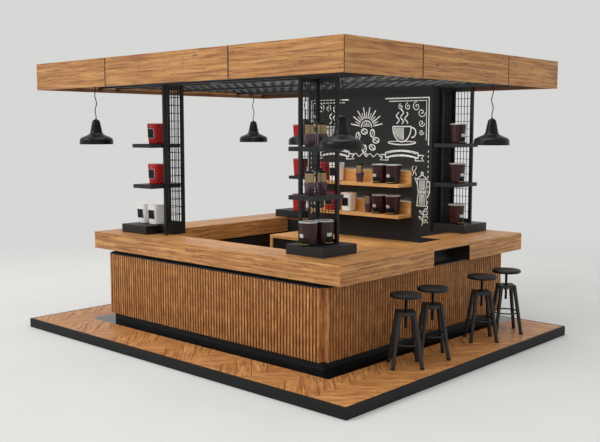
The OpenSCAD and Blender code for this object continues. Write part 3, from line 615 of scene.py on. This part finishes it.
# Thin dark boards round the inside, below the ceiling: painted shade on the canopy's inner faces
LINING_T = 0.002
shade_lining = fresh()
left_face, right_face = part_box("canopy_left")[1].x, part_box("canopy_right")[0].x
front_face, back_face = front_panel[1].y, back_panel[0].y
lining_low, lining_high = front_panel[0].z + 0.003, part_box("canopy_joists")[0].z - 0.002
for x0, x1, y0, y1 in ((left_face, left_face + LINING_T, front_face, back_face),
                       (right_face - LINING_T, right_face, front_face, back_face),
                       (left_face + LINING_T, right_face - LINING_T, front_face, front_face + LINING_T),
                       (left_face + LINING_T, right_face - LINING_T, back_face - LINING_T, back_face)):
    order = ALONG_X if x1 - x0 > y1 - y0 else ALONG_Y
    plank(shade_lining, (x0, y0, lining_low), (x1, y1, lining_high), order)
piece(shade_lining, "canopy_shade_lining", shade_lining_wood, edge=0.0004)
paint(powder, "canopy_joists")
paint(wire_coat, "ceiling_left", "ceiling_right")

CEILING_PITCH, CEILING_WIRE = 0.040, 0.0014
ceiling_low, ceiling_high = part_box("ceiling_left")[0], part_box("ceiling_right")[1]
wire_z = ceiling_high.z + CEILING_WIRE * 0.8
wires = []
for run, upper in ((X, 0.0), (Y, 1.5 * CEILING_WIRE)):
    across = X + Y - run
    count = int((ceiling_high[across] - ceiling_low[across]) / CEILING_PITCH)
    for i in range(1, count):
        ends = []
        for reach in (ceiling_low[run] + 0.002, ceiling_high[run] - 0.002):
            spot = Vector((0.0, 0.0, wire_z + upper))
            spot[run] = reach
            spot[across] = ceiling_low[across] + i * (ceiling_high[across] - ceiling_low[across]) / count
            ends.append(spot)
        wires.append(ends)
piece(rods(wires, CEILING_WIRE), "ceiling_wires", zinc, round_to=60)


# Chalk wall

eased_copy("chalk_wall", board_paint, 0.002, UPRIGHT)
wall_low, wall_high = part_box("chalk_wall")
wall_points = [v.co.copy() for v in cad["chalk_wall"].data.vertices]
FACE = wall_low.y
BOARD_R = max(p.x for p in wall_points if p.z > 2.0)


def placed(points, x, z, turn=0.0):
    """Points turned about their own middle and then set down on the wall."""
    c, s = math.cos(turn), math.sin(turn)
    return [(x + a * c - b * s, z + a * s + b * c) for a, b in points]


def arc(cx, cz, rx, rz, start, end, count=24):
    """Points along part of an ellipse on the wall, angles in degrees."""
    turns = [math.radians(start + (end - start) * i / count) for i in range(count + 1)]
    return [(cx + rx * math.cos(turn), cz + rz * math.sin(turn)) for turn in turns]


def curl(cx, cz, size, start, turns, count=26):
    """Points along a scroll that winds in to its middle."""
    steps = [(size * (1 - i / count) ** 0.8, start + math.tau * turns * i / count) for i in range(count + 1)]
    return [(cx + r * math.cos(turn), cz + r * math.sin(turn)) for r, turn in steps]


def leaf(x, z, long, wide, turn, count=10):
    """Points round a pointed leaf from its stalk."""
    sides = [(long * k / count, wide * math.sin(math.pi * k / count)) for k in range(count + 1)]
    return placed(sides + [(a, -b) for a, b in reversed(sides[:-1])], x, z, turn)


bold, fine = [], []
top_z, mid_x = wall_high.z - 0.12, (wall_low.x + BOARD_R) / 2
# Corner frames with scrolls, and a broken line down both edges
for corner, way in ((wall_low.x + 0.05, 1), (BOARD_R - 0.05, -1)):
    bold.append(placed([(0.0, -0.58), (0.0, 0.0), (way * 0.66, 0.0)], corner, top_z))
    fine.append(placed([(way * 0.035, -0.52), (way * 0.035, -0.035), (way * 0.60, -0.035)], corner, top_z))
    for step, size in ((0.12, 0.058), (0.25, 0.046), (0.36, 0.036)):
        fine.append(curl(corner + way * (0.06 + step), top_z - 0.105, size, math.pi / 2, -way * 1.4))
        fine.append(curl(corner + way * 0.105, top_z - (0.06 + step), size, math.pi / 2 * (1 + way),
                         way * 1.4))
    for k in range(15):
        fine.append([(corner, top_z - 0.64 - 0.062 * k), (corner, top_z - 0.668 - 0.062 * k)])
# A fan of rays over the middle
fan_z = top_z - 0.36
for i in range(15):
    ray = [(0.115, 0.0), (0.20 if i % 2 else 0.26, 0.0)]
    (fine if i % 2 else bold).append(placed(ray, mid_x, fan_z, math.radians(10 + 160 / 14 * i)))
bold.append(arc(mid_x, fan_z, 0.085, 0.085, 0, 180))
for k in range(-2, 3):
    fine.append(placed([(0.025 * k, 0.008), (0.025 * k, 0.035 + 0.02 * (2 - abs(k)))], mid_x, fan_z))
# Cups with steam on both sides, rubbed in on one side, each on a saucer
CUP_R, CUP_H, CUP_Z = 0.14, 0.19, 2.235
cups = (mid_x - 0.54, mid_x + 0.56)
for cup_x, way in zip(cups, (-1, 1)):
    bold.append([(cup_x - CUP_R, CUP_Z + 0.20), (cup_x + CUP_R, CUP_Z + 0.20)])
    bold.append(arc(cup_x, CUP_Z + 0.20, CUP_R, CUP_H, 180, 360))
    bold.append(arc(cup_x + way * 0.155, CUP_Z + 0.125, 0.055, 0.06, 90 + way * 10, 90 - way * 190, 16))
    for k in range(9):
        a = -0.115 + 0.017 * k
        deep = CUP_H * math.sqrt(1 - (a / CUP_R) ** 2)
        fine.append(placed([(a, 0.186), (a + 0.006, 0.212 - deep * 0.93)], cup_x, CUP_Z))
    bold.append(arc(cup_x, CUP_Z + 0.005, 0.21, 0.03, 180, 360))
    fine.append(arc(cup_x, CUP_Z + 0.005, 0.21, 0.012, 0, 180))
    for i in (-1, 0, 1):
        bold.append(placed([(i * 0.065 + 0.022 * math.sin(k * 0.75 + i), 0.235 + k * 0.013)
                            for k in range(12 if i else 15)], cup_x, CUP_Z))
# A bare ribbon with forked tails under each cup
BAND_Z, BAND_HALF, BAND_H, BAND_FORK = 2.075, 0.25, 0.034, 0.028
bow = [(t / 10, 0.03 * (1 - (t / 10) ** 2)) for t in range(-10, 11)]
for band_x in cups:
    rows = [[(BAND_HALF * t, rise + side * BAND_H) for t, rise in bow] for side in (1, -1)]
    bold += [placed(row, band_x, BAND_Z) for row in rows]
    for end, way in ((0, -1), (-1, 1)):
        x, low, high = rows[0][end][0], -BAND_H - BAND_FORK, BAND_H - BAND_FORK
        tail = [(x - way * 0.04, -BAND_H), (x - way * 0.04, low), (x + way * 0.085, low),
                (x + way * 0.05, -BAND_FORK), (x + way * 0.085, high), (x, high)]
        bold += [placed(line, band_x, BAND_Z) for line in ((rows[0][end], rows[1][end]), tail)]
    for side in (0.62, -0.62):
        fine.append(placed([(BAND_HALF * t / 1.1, rise + side * BAND_H) for t, rise in bow], band_x, BAND_Z))
# A round of beans in the middle
for i in range(7):
    turn = math.tau * i / 7
    spot = (mid_x + 0.155 * math.cos(turn), 2.26 + 0.115 * math.sin(turn), turn * 1.7)
    bold.append(placed(arc(0, 0, 0.050, 0.034, 0, 360, 16), *spot))
    fine.append(placed([(0.044 * (k / 4 - 1), 0.010 * math.sin(k * 0.8)) for k in range(9)], *spot))
# A wavy line with a ring in its middle below them
for way in (1, -1):
    fine.append([(mid_x + way * (0.03 + 0.0115 * k), 2.07 + 0.02 * math.sin(k * 0.62)) for k in range(19)])
bold.append(arc(mid_x, 2.07, 0.018, 0.018, 0, 360, 12))
# A stove pot beside the right end of the shelves, and its steam
pot = (BOARD_R - 0.135, 1.46)
for line in (((-0.075, 0.0), (0.075, 0.0), (0.055, 0.16), (-0.055, 0.16), (-0.075, 0.0)),
             ((-0.055, 0.175), (0.055, 0.175), (0.075, 0.33), (-0.075, 0.33), (-0.055, 0.175)),
             ((-0.075, 0.33), (-0.11, 0.345), (-0.062, 0.25)),
             ((-0.07, 0.335), (0.0, 0.385), (0.07, 0.335)),
             arc(0.0, 0.40, 0.016, 0.016, 0, 360, 12),
             ((0.072, 0.31), (0.112, 0.30), (0.108, 0.17), (0.09, 0.12))):
    bold.append(placed(line, *pot))
for k in range(-2, 3):
    fine.append(placed([(0.02 * k, 0.015), (0.015 * k, 0.145)], *pot))
    fine.append(placed([(0.015 * k, 0.19), (0.02 * k, 0.315)], *pot))
for i in (-1, 1):
    fine.append(placed([(i * 0.02 - 0.12 + 0.012 * math.sin(k * 0.8 + i), 0.37 + 0.012 * k)
                        for k in range(11)], *pot))
# Leafy twigs beside the left end of the shelves and below the pot
for twig_x, start, count in ((wall_low.x + 0.15, 1.30, 15), (BOARD_R - 0.13, 1.215, 6)):
    stem = [(twig_x + 0.02 * math.sin(k * 0.35), start + 0.035 * k) for k in range(count)]
    fine.append(stem)
    for k, spot in enumerate(stem[1:]):
        fine.append(leaf(*spot, 0.075, 0.014, math.pi / 2 + (0.95 if k % 2 else -0.95)))

CHALK_FLAT = 0.12  # how flat the round lines are pressed
for name, rows, radius in (("chalk_bold", bold, 0.0085), ("chalk_fine", fine, 0.0055)):
    bm = rods([[(x, FACE, z) for x, z in row] for row in rows], radius, 1)
    flat = (Matrix.Translation((0, FACE, 0)) @ Matrix.Diagonal((1, CHALK_FLAT, 1, 1))
            @ Matrix.Translation((0, -FACE, 0)))
    bmesh.ops.transform(bm, matrix=flat, verts=bm.verts)
    piece(bm, name, chalk, round_to=40)


# Black boards on the wall's back
BACK_GAP = 0.002  # half the joint between two boards
back_x, back_z = min(p.x for p in wall_points if p.y > FACE + 0.1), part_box("top_back")[1].z
wide, tall = (BOARD_R - back_x) / 3, (wall_high.z - back_z) / 2
bm = fresh()
for i in range(3):
    for j in range(2):
        x, z = back_x + i * wide, back_z + j * tall
        plank(bm, (x + BACK_GAP, wall_high.y - 0.0005, z + BACK_GAP),
              (x + wide - BACK_GAP, wall_high.y + 0.004, z + tall - BACK_GAP), UPRIGHT)
piece(bm, "wall_back_boards", edge_laminate, edge=0.001)


# Wall shelves with a light strip sunk behind each upstand, and the bench

SHELF_T, UPSTAND_T, UPSTAND_SLOT = 0.038, 0.020, 0.012
boards, strips = fresh(), fresh()
for low, high in solids_in("wall_shelves"):
    plank(boards, low, (high.x, high.y, low.z + SHELF_T))
    plank(boards, (low.x, high.y - UPSTAND_T, low.z + SHELF_T), (high.x, high.y - UPSTAND_SLOT, high.z))
    plank(boards, (low.x, high.y - UPSTAND_SLOT, low.z + SHELF_T), (high.x, high.y, high.z - 0.02))
    for i in range(4):
        step = (high.x - low.x - 0.04) / 4
        start = low.x + 0.02 + i * step
        plank(strips, (start, high.y - 0.011, high.z - 0.0199),
              (start + step - 0.002, high.y - 0.001, high.z - 0.008))
piece(boards, "wall_shelf_boards", shelf_wood, instead_of=("wall_shelves",), edge=0.0015,
      segments=2)
piece(strips, "shelf_light_strips", light_strip, edge=0.001, segments=2)

eased_copy("bench_top", shelf_wood, 0.002)
paint(laminate, "bench_cabinet")
low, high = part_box("bench_cabinet")
doors, handles = fresh(), fresh()
count = 4
step = (high.x - low.x) / count
for i in range(count):
    x0, x1 = low.x + i * step + 0.0015, low.x + (i + 1) * step - 0.0015
    plank(doors, (x0, low.y - 0.018, low.z + 0.06), (x1, low.y - 0.0002, high.z - 0.004), UPRIGHT)
    grip = x1 - 0.05 if i % 2 == 0 else x0 + 0.05
    plank(handles, (grip - 0.005, low.y - 0.032, high.z - 0.26), (grip + 0.005, low.y - 0.024, high.z - 0.10))
    for z in (high.z - 0.245, high.z - 0.125):
        plank(handles, (grip - 0.004, low.y - 0.0245, z), (grip + 0.004, low.y - 0.0175, z + 0.01))
piece(doors, "bench_doors", laminate, edge=0.0012, segments=2)
piece(handles, "bench_handles", powder, edge=0.001, segments=2)


# Lamps: spun steel shades on twisted flexes

# Outline of a shade from the rim to the neck, as shares of the width and the height
SHADE = ((0.5, 0.0), (0.5, 0.13), (0.495, 0.185), (0.48, 0.23), (0.452, 0.265), (0.412, 0.296),
         (0.34, 0.338), (0.268, 0.38), (0.222, 0.415), (0.196, 0.45), (0.18, 0.5), (0.163, 0.63),
         (0.135, 0.82), (0.113, 0.95), (0.09, 1.0))
SHADE_WALL = 0.0025
shades, holders, bulbs = fresh(), fresh(), fresh()
for low, high in solids_in("lamp_shades"):
    wide, tall, at = high.x - low.x, high.z - low.z, foot_of(low, high)
    outer = [(r * wide, z * tall) for r, z in SHADE]
    inside = [(r - SHADE_WALL, z) for r, z in reversed(outer)]
    turned(shades, outer + inside, at, 64, closed=True)
    rim = [(wide / 2 - 0.001 + 0.003 * math.cos(a), 0.003 + 0.003 * math.sin(a))
           for a in (math.tau * i / 8 for i in range(8))]
    turned(shades, rim, at, 64, closed=True)
    neck = at + Vector((0, 0, tall))
    turned(holders, [(0.0, 0.016), (0.010, 0.016), (0.013, 0.011), (0.034, 0.0), (0.034, -0.004),
                     (0.021, -0.012), (0.021, -0.085), (0.017, -0.09), (0.0, -0.09)], neck, 24)
    turned(bulbs, [(0.0, -0.0895), (0.013, -0.0895), (0.015, -0.105), (0.024, -0.125), (0.030, -0.145),
                   (0.028, -0.165), (0.018, -0.18), (0.0, -0.186)], neck, 24)
piece(shades, "lamp_shades_spun", enamel, instead_of=("lamp_shades",), round_to=30)
piece(holders, "lamp_holders", enamel, round_to=30)
piece(bulbs, "lamp_bulbs", opal, round_to=40)

TWIST = 0.036  # length of one turn of the two strands
strands, roses = [], fresh()
for low, high in solids_in("lamp_flexes"):
    middle, thin = (low + high) / 2, (high.x - low.x) / 4
    count = int((high.z - low.z) / TWIST * 10)
    lean = dice.uniform(0, math.tau)
    for phase in (0.0, math.pi):
        path = []
        for i in range(count + 1):
            share, turn = i / count, phase + math.tau * i / 10
            sway = 0.008 * math.sin(math.tau * 2.0 * share + lean) * math.sin(math.pi * share)
            path.append((middle.x + thin * math.cos(turn) + sway, middle.y + thin * math.sin(turn) + sway,
                         low.z + (high.z - low.z) * share))
        strands.append(path)
    turned(roses, [(0.0, 0.0), (0.013, 0.0), (0.013, -0.006), (0.010, -0.011), (0.007, -0.014),
                   (0.0, -0.014)], (middle.x, middle.y, high.z), 24)
piece(rods(strands, thin), "lamp_flexes_twisted", braid, instead_of=("lamp_flexes",),
      round_to=60)
piece(roses, "lamp_roses", enamel, round_to=30)


# Stools: turned seats on threaded spindles, steel legs

COAT = 0.002  # thickness of the rolled paint and the legs' rolled edges
legs = merged("stool_frames")
legs.normal_update()
for vert in legs.verts:
    vert.co += vert.normal * COAT
    vert.co.z = max(vert.co.z, FLOOR_Z)
piece(legs, "stool_legs", stool_paint, instead_of=("stool_frames",), round_to=35)
HUB_TOP, LEG_R, LEG_TOP, FOOT_R = 0.543, 0.105, 0.040, 0.201  # the frame's heights and radii
SEAT_T, THREAD_STEP = 0.036, 0.007
DOME = [((LEG_TOP / 2 + COAT) * math.sin(a), (LEG_TOP / 2 + COAT) * math.cos(a))
        for a in (math.pi * i / 10 for i in range(11))]  # half outline of a leg's round shoulder
shoulders, feet, nuts = fresh(), fresh(), fresh()
for n in (1, 2, 3, 4):
    low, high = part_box(f"seat_{n}")
    at = Vector((*foot_of(low, high).xy, 0.0))
    r, under, hub = (high.x - low.x) / 2, high.z - SEAT_T, FLOOR_Z + HUB_TOP
    seat, spindle = fresh(), fresh()
    turned(seat, [(0.0, 0.002), (0.55 * r, 0.002), (0.86 * r, 0.0), (0.945 * r, 0.0025), (0.985 * r, 0.008),
                  (r, 0.015), (r, 0.022), (0.985 * r, 0.029), (0.945 * r, 0.0345), (0.88 * r, SEAT_T),
                  (0.6 * r, 0.0342), (0.0, 0.0335)], (at.x, at.y, under), 64)
    piece(seat, f"seat_{n}_turned", seat_paint, f"seat_{n}", (f"seat_{n}",), round_to=40)
    thread = [(0.0, low.z), (0.0115, low.z)]
    for k in range(int((under - low.z - 0.02) / THREAD_STEP)):
        z = low.z + 0.004 + THREAD_STEP * k
        crest = 0.0128 if hub - 0.08 < z < hub + 0.02 else 0.0152
        thread += [(crest, z), (crest - 0.0022, z + THREAD_STEP / 2)]
    thread += [(0.0152, under - 0.016), (0.0152, under - 0.007), (0.058, under - 0.006),
               (0.062, under - 0.003), (0.062, under + 0.0018), (0.0, under + 0.0018)]
    turned(spindle, thread, (at.x, at.y, 0.0), 20)
    piece(spindle, f"seat_{n}_spindle", spindle_steel, f"seat_{n}", round_to=50)
    for quarter in range(4):
        turn = math.radians(90 * quarter)
        out = Vector((math.cos(turn), math.sin(turn), 0.0))
        turned(shoulders, DOME, at + out * LEG_R + Vector((0, 0, hub - LEG_TOP / 2)), 20)
        foot = at + out * FOOT_R + Vector((0, 0, FLOOR_Z))
        turned(feet, [(0.0, 0.0), (0.0215, 0.0), (0.0225, 0.003), (0.0215, 0.018), (0.0, 0.018)], foot, 20)
    collar = at + Vector((0, 0, hub))
    turned(nuts, [(0.0145, -0.06), (0.026, -0.06), (0.026, -0.03), (0.0145, -0.03)], collar, 6, closed=True)
    turned(nuts, [(0.0145, 0.0), (0.030, 0.0), (0.030, 0.005), (0.024, 0.008), (0.0145, 0.008)], collar, 28,
           closed=True)
piece(shoulders, "stool_shoulders", stool_paint, round_to=40)
piece(feet, "stool_feet", rubber, round_to=40)
piece(nuts, "stool_nuts", spindle_steel, edge=0.001, segments=2, round_to=25)


# Coffee makers and jars


def housing(bm, at, z0, z1, w0, w1, corner, steps=5):
    """An upright housing of square plan with round corners, as wide as w0 at its foot and w1 at its top."""
    made = bmesh.ops.create_cube(bm, size=1.0)["verts"]
    low, high = [v for v in made if v.co.z < 0], [v for v in made if v.co.z > 0]
    for verts, wide, z in ((low, w0, z0), (high, w1, z1)):
        bmesh.ops.scale(bm, vec=(wide, wide, 0.0), verts=verts)
        bmesh.ops.translate(bm, vec=(at[0], at[1], at[2] + z), verts=verts)
    uprights = {e for v in made for e in v.link_edges
                if abs(e.verts[0].co.z - e.verts[1].co.z) > (z1 - z0) / 2}
    bmesh.ops.bevel(bm, geom=list(uprights), offset=corner, offset_type="OFFSET", segments=steps, profile=0.5,
                    affect="EDGES", material=-1)


def on_front(bm, at, tall, w0, w1, x0, x1, z0, z1, proud, turn, sunk=0.004):
    """A thin plate on a maker's leaning front, between shares of its foot's width and its height."""
    lean = math.atan((w1 - w0) / 2 / tall)
    place = (Matrix.Translation(at) @ Matrix.Rotation(turn, 4, "Z") @ Matrix.Translation((0, -w0 / 2, 0))
             @ Matrix.Rotation(lean, 4, "X"))
    plank(bm, (x0 * w0, -proud, z0 * tall), (x1 * w0, sunk, z1 * tall), place=place)


TO_FRONT, TO_RIGHT, TO_LEFT = 0.0, math.radians(90), math.radians(-90)
BOX_TAPER, ROUND_TAPER = 146 / 170, 164 / 196  # width of the foot as a share of the top's
BOX_CORNER = 0.038
trims, panels, feet, labels, trays, rims, lids = (fresh() for _ in range(7))
for node, finish, slot in (("makers_red", red_gloss, "maker_red"),
                           ("makers_white", white_gloss, "maker_white")):
    bodies = fresh()
    for low, high in solids_in(node):
        tall, w1 = high.z - low.z, high.x - low.x
        w0, at = w1 * BOX_TAPER, foot_of(low, high)
        turn = TO_LEFT if at.y > FACE else TO_FRONT
        lean = (w1 - w0) / tall
        housing(feet, at, 0.0, 0.006, w0 - 0.010, w0 - 0.008, BOX_CORNER * 0.8)
        housing(bodies, at, 0.006, tall - 0.013, w0, w1 - 0.013 * lean, BOX_CORNER)
        # On the white makers this grey trim ring under the lid also stands for the shadow line there, painted
        # shade
        housing(trims, at, tall - 0.013, tall - 0.010, w1 - 0.008, w1 - 0.008, BOX_CORNER)
        housing(bodies, at, tall - 0.010, tall, w1 - 0.002, w1 - 0.001, BOX_CORNER)
        on_front(trims, at, tall, w0, w1, -0.385, 0.385, 0.275, 0.75, 0.0012, turn)
        on_front(panels, at, tall, w0, w1, -0.36, 0.36, 0.292, 0.733, 0.0026, turn)
        on_front(labels, at, tall, w0, w1, -0.10, 0.10, 0.84, 0.86, 0.0010, turn)
    piece(bodies, node + "_housings", finish, instead_of=(node,), edge=0.002, segments=2, round_to=35)

bodies = fresh()
for low, high in solids_in("makers_brown"):
    tall, r1 = high.z - low.z, (high.x - low.x) / 2
    r0, at = r1 * ROUND_TAPER, foot_of(low, high)
    on_shelf = abs(at.y - FACE) < 0.3 and abs(at.x) < 0.75
    turn = TO_FRONT if on_shelf or at.y < -1.0 else TO_RIGHT
    ahead = turn - math.pi / 2
    side = lambda z: r0 + (r1 - r0) * z / tall
    brim = side(tall - 0.015)
    turned(bodies, [(0.0, 0.016), (side(0.016) - 0.002, 0.016), (side(0.018), 0.018), (brim, tall - 0.015),
                    (brim - 0.003, tall - 0.0125), (0.0, tall - 0.0125)], at, 48)
    turned(feet, [(0.0, 0.0), (r0 - 0.006, 0.0), (r0 - 0.004, 0.002), (r0 - 0.004, 0.016), (0.0, 0.016)],
           at, 48)
    turned(rims, [(r1 - 0.014, tall - 0.012), (r1 - 0.001, tall - 0.012), (r1, tall - 0.010),
                  (r1, tall - 0.003), (r1 - 0.003, tall), (r1 - 0.011, tall), (r1 - 0.014, tall - 0.004)],
           at, 48, closed=True)
    turned(lids, [(0.0, tall - 0.0118), (r1 - 0.0145, tall - 0.0118), (r1 - 0.0145, tall - 0.006),
                  (r1 - 0.03, tall - 0.004), (0.0, tall - 0.003)], at, 48)
    for plates, z0, z1, lift, shift, width in ((panels, 0.075, 0.335, 0.0020, 6, 42),
                                               (labels, 0.34, 0.49, 0.0022, -12, 19)):
        a, b = z0 * tall, z1 * tall
        swept(plates, [(side(a) - 0.004, a), (side(a) + lift, a), (side(b) + lift, b), (side(b) - 0.004, b)],
              at, ahead + math.radians(shift), math.radians(width), 10)
    tray = at + Vector((math.cos(ahead), math.sin(ahead), 0.0)) * (r0 - 0.036)
    turned(feet, [(0.0, 0.0), (0.056, 0.0), (0.058, 0.003), (0.058, 0.015), (0.0, 0.015)], tray, 40)
    turned(trays, [(0.0, 0.0152), (0.0585, 0.0152), (0.0590, 0.016), (0.0585, 0.021), (0.053, 0.022),
                   (0.051, 0.019), (0.0, 0.019)], tray, 40)
piece(bodies, "makers_brown_housings", brown_gloss, instead_of=("makers_brown",), round_to=35)
piece(feet, "maker_feet", black_gloss, round_to=35)
piece(trims, "maker_trims", pale_trim, edge=0.0006, round_to=35)
piece(rims, "maker_rims", pale_trim, round_to=35)
piece(lids, "maker_lids", lid_grey, round_to=35)
piece(panels, "maker_panels", black_gloss, edge=0.0006, round_to=35)
piece(labels, "maker_keys", pale_trim, edge=0.0005, round_to=35)
piece(trays, "maker_trays", gold_trim, round_to=35)

glasses, sleeves, stoppers = fresh(), fresh(), fresh()
for low, high in solids_in("coffee_jars"):
    wide, tall, at = high.x - low.x, high.z - low.z, foot_of(low, high)
    for bm, steps, outline in (
            (glasses, 40, ((0.0, 0.0), (0.33, 0.0), (0.365, 0.012), (0.385, 0.05), (0.475, 0.40),
                           (0.5, 0.455), (0.5, 0.50), (0.47, 0.53), (0.0, 0.53))),
            (sleeves, 14, ((0.0, 0.531), (0.415, 0.531), (0.415, 0.92), (0.0, 0.92))),
            (stoppers, 40, ((0.0, 0.921), (0.40, 0.921), (0.41, 0.93), (0.405, 0.985), (0.37, 1.0),
                            (0.0, 1.0)))):
        turned(bm, [(r * wide, z * tall) for r, z in outline], at, steps)
piece(glasses, "jar_glasses", plum_glass, instead_of=("coffee_jars",), round_to=35)
piece(sleeves, "jar_sleeves", bronze, edge=0.0006, round_to=12)
piece(stoppers, "jar_stoppers", black_gloss, round_to=35)


# Studio: a pale floor that runs into an even pale room, soft light from the front left and under the canopy

ROOM = "#d7d7d6"
world = bpy.data.worlds.new("room")
world.use_nodes = True
world.node_tree.nodes.clear()
air = add(world.node_tree, "Background", {"Color": rgb(ROOM), "Strength": 1.0})
add(world.node_tree, "OutputWorld", {"Surface": air})
bpy.context.scene.world = world

floor_paint, tree = blank("floor_painted_pale")
spot = add(tree, "TexCoord", out="Object")
far = add(tree, "VectorMath", {0: spot}, out="Value", operation="LENGTH")
fade = add(tree, "MapRange", {"Value": far, "From Min": 5.0, "From Max": 12.0, "To Min": 0.0, "To Max": 1.0},
           interpolation_type="SMOOTHERSTEP")
cloud = add(tree, "TexNoise", {"Vector": spot, "Scale": 0.7, "Detail": 2.0})
tone = add(tree, "ValToRGB", {"Fac": cloud}, ((0.3, "#d4d4d2"), (0.7, "#d8d8d6")))
matt = add(tree, "BsdfDiffuse", {"Color": tone})
glow = add(tree, "Emission", {"Color": rgb(ROOM), "Strength": 1.0})
add(tree, "OutputMaterial", {"Surface": add(tree, "MixShader", {0: fade, 1: matt, 2: glow})})

bm = bmesh.new()
bmesh.ops.create_circle(bm, cap_ends=True, radius=70.0, segments=96,
                        matrix=Matrix.Translation((0, 0, -0.001)))
mesh = bpy.data.meshes.new("floor")
bm.to_mesh(mesh)
bm.free()
mesh.materials.append(floor_paint)
floor = bpy.data.objects.new("floor", mesh)
bpy.context.scene.collection.objects.link(floor)

for name, spot, aim, size, watts in (("key_light", (-11.0, -20.0, 19.0), (0.0, 0.0, 1.2), 12.0, 3000.0),
                                     ("top_light", (0.0, 0.0, 10.0), (0.0, 0.0, 1.2), 7.0, 420.0),
                                     ("wall_light", (0.2, -0.9, 2.7), (0.1, 0.9, 1.6), 1.4, 14.0)):
    light = bpy.data.lights.new(name, "AREA")
    light.size = size
    light.energy = watts
    lamp = bpy.data.objects.new(name, light)
    lamp.location = spot
    lamp.rotation_euler = (Vector(aim) - Vector(spot)).to_track_quat("-Z", "Y").to_euler()
    lamp.visible_camera = False
    bpy.context.scene.collection.objects.link(lamp)

bpy.context.scene.view_settings.view_transform = "Standard"
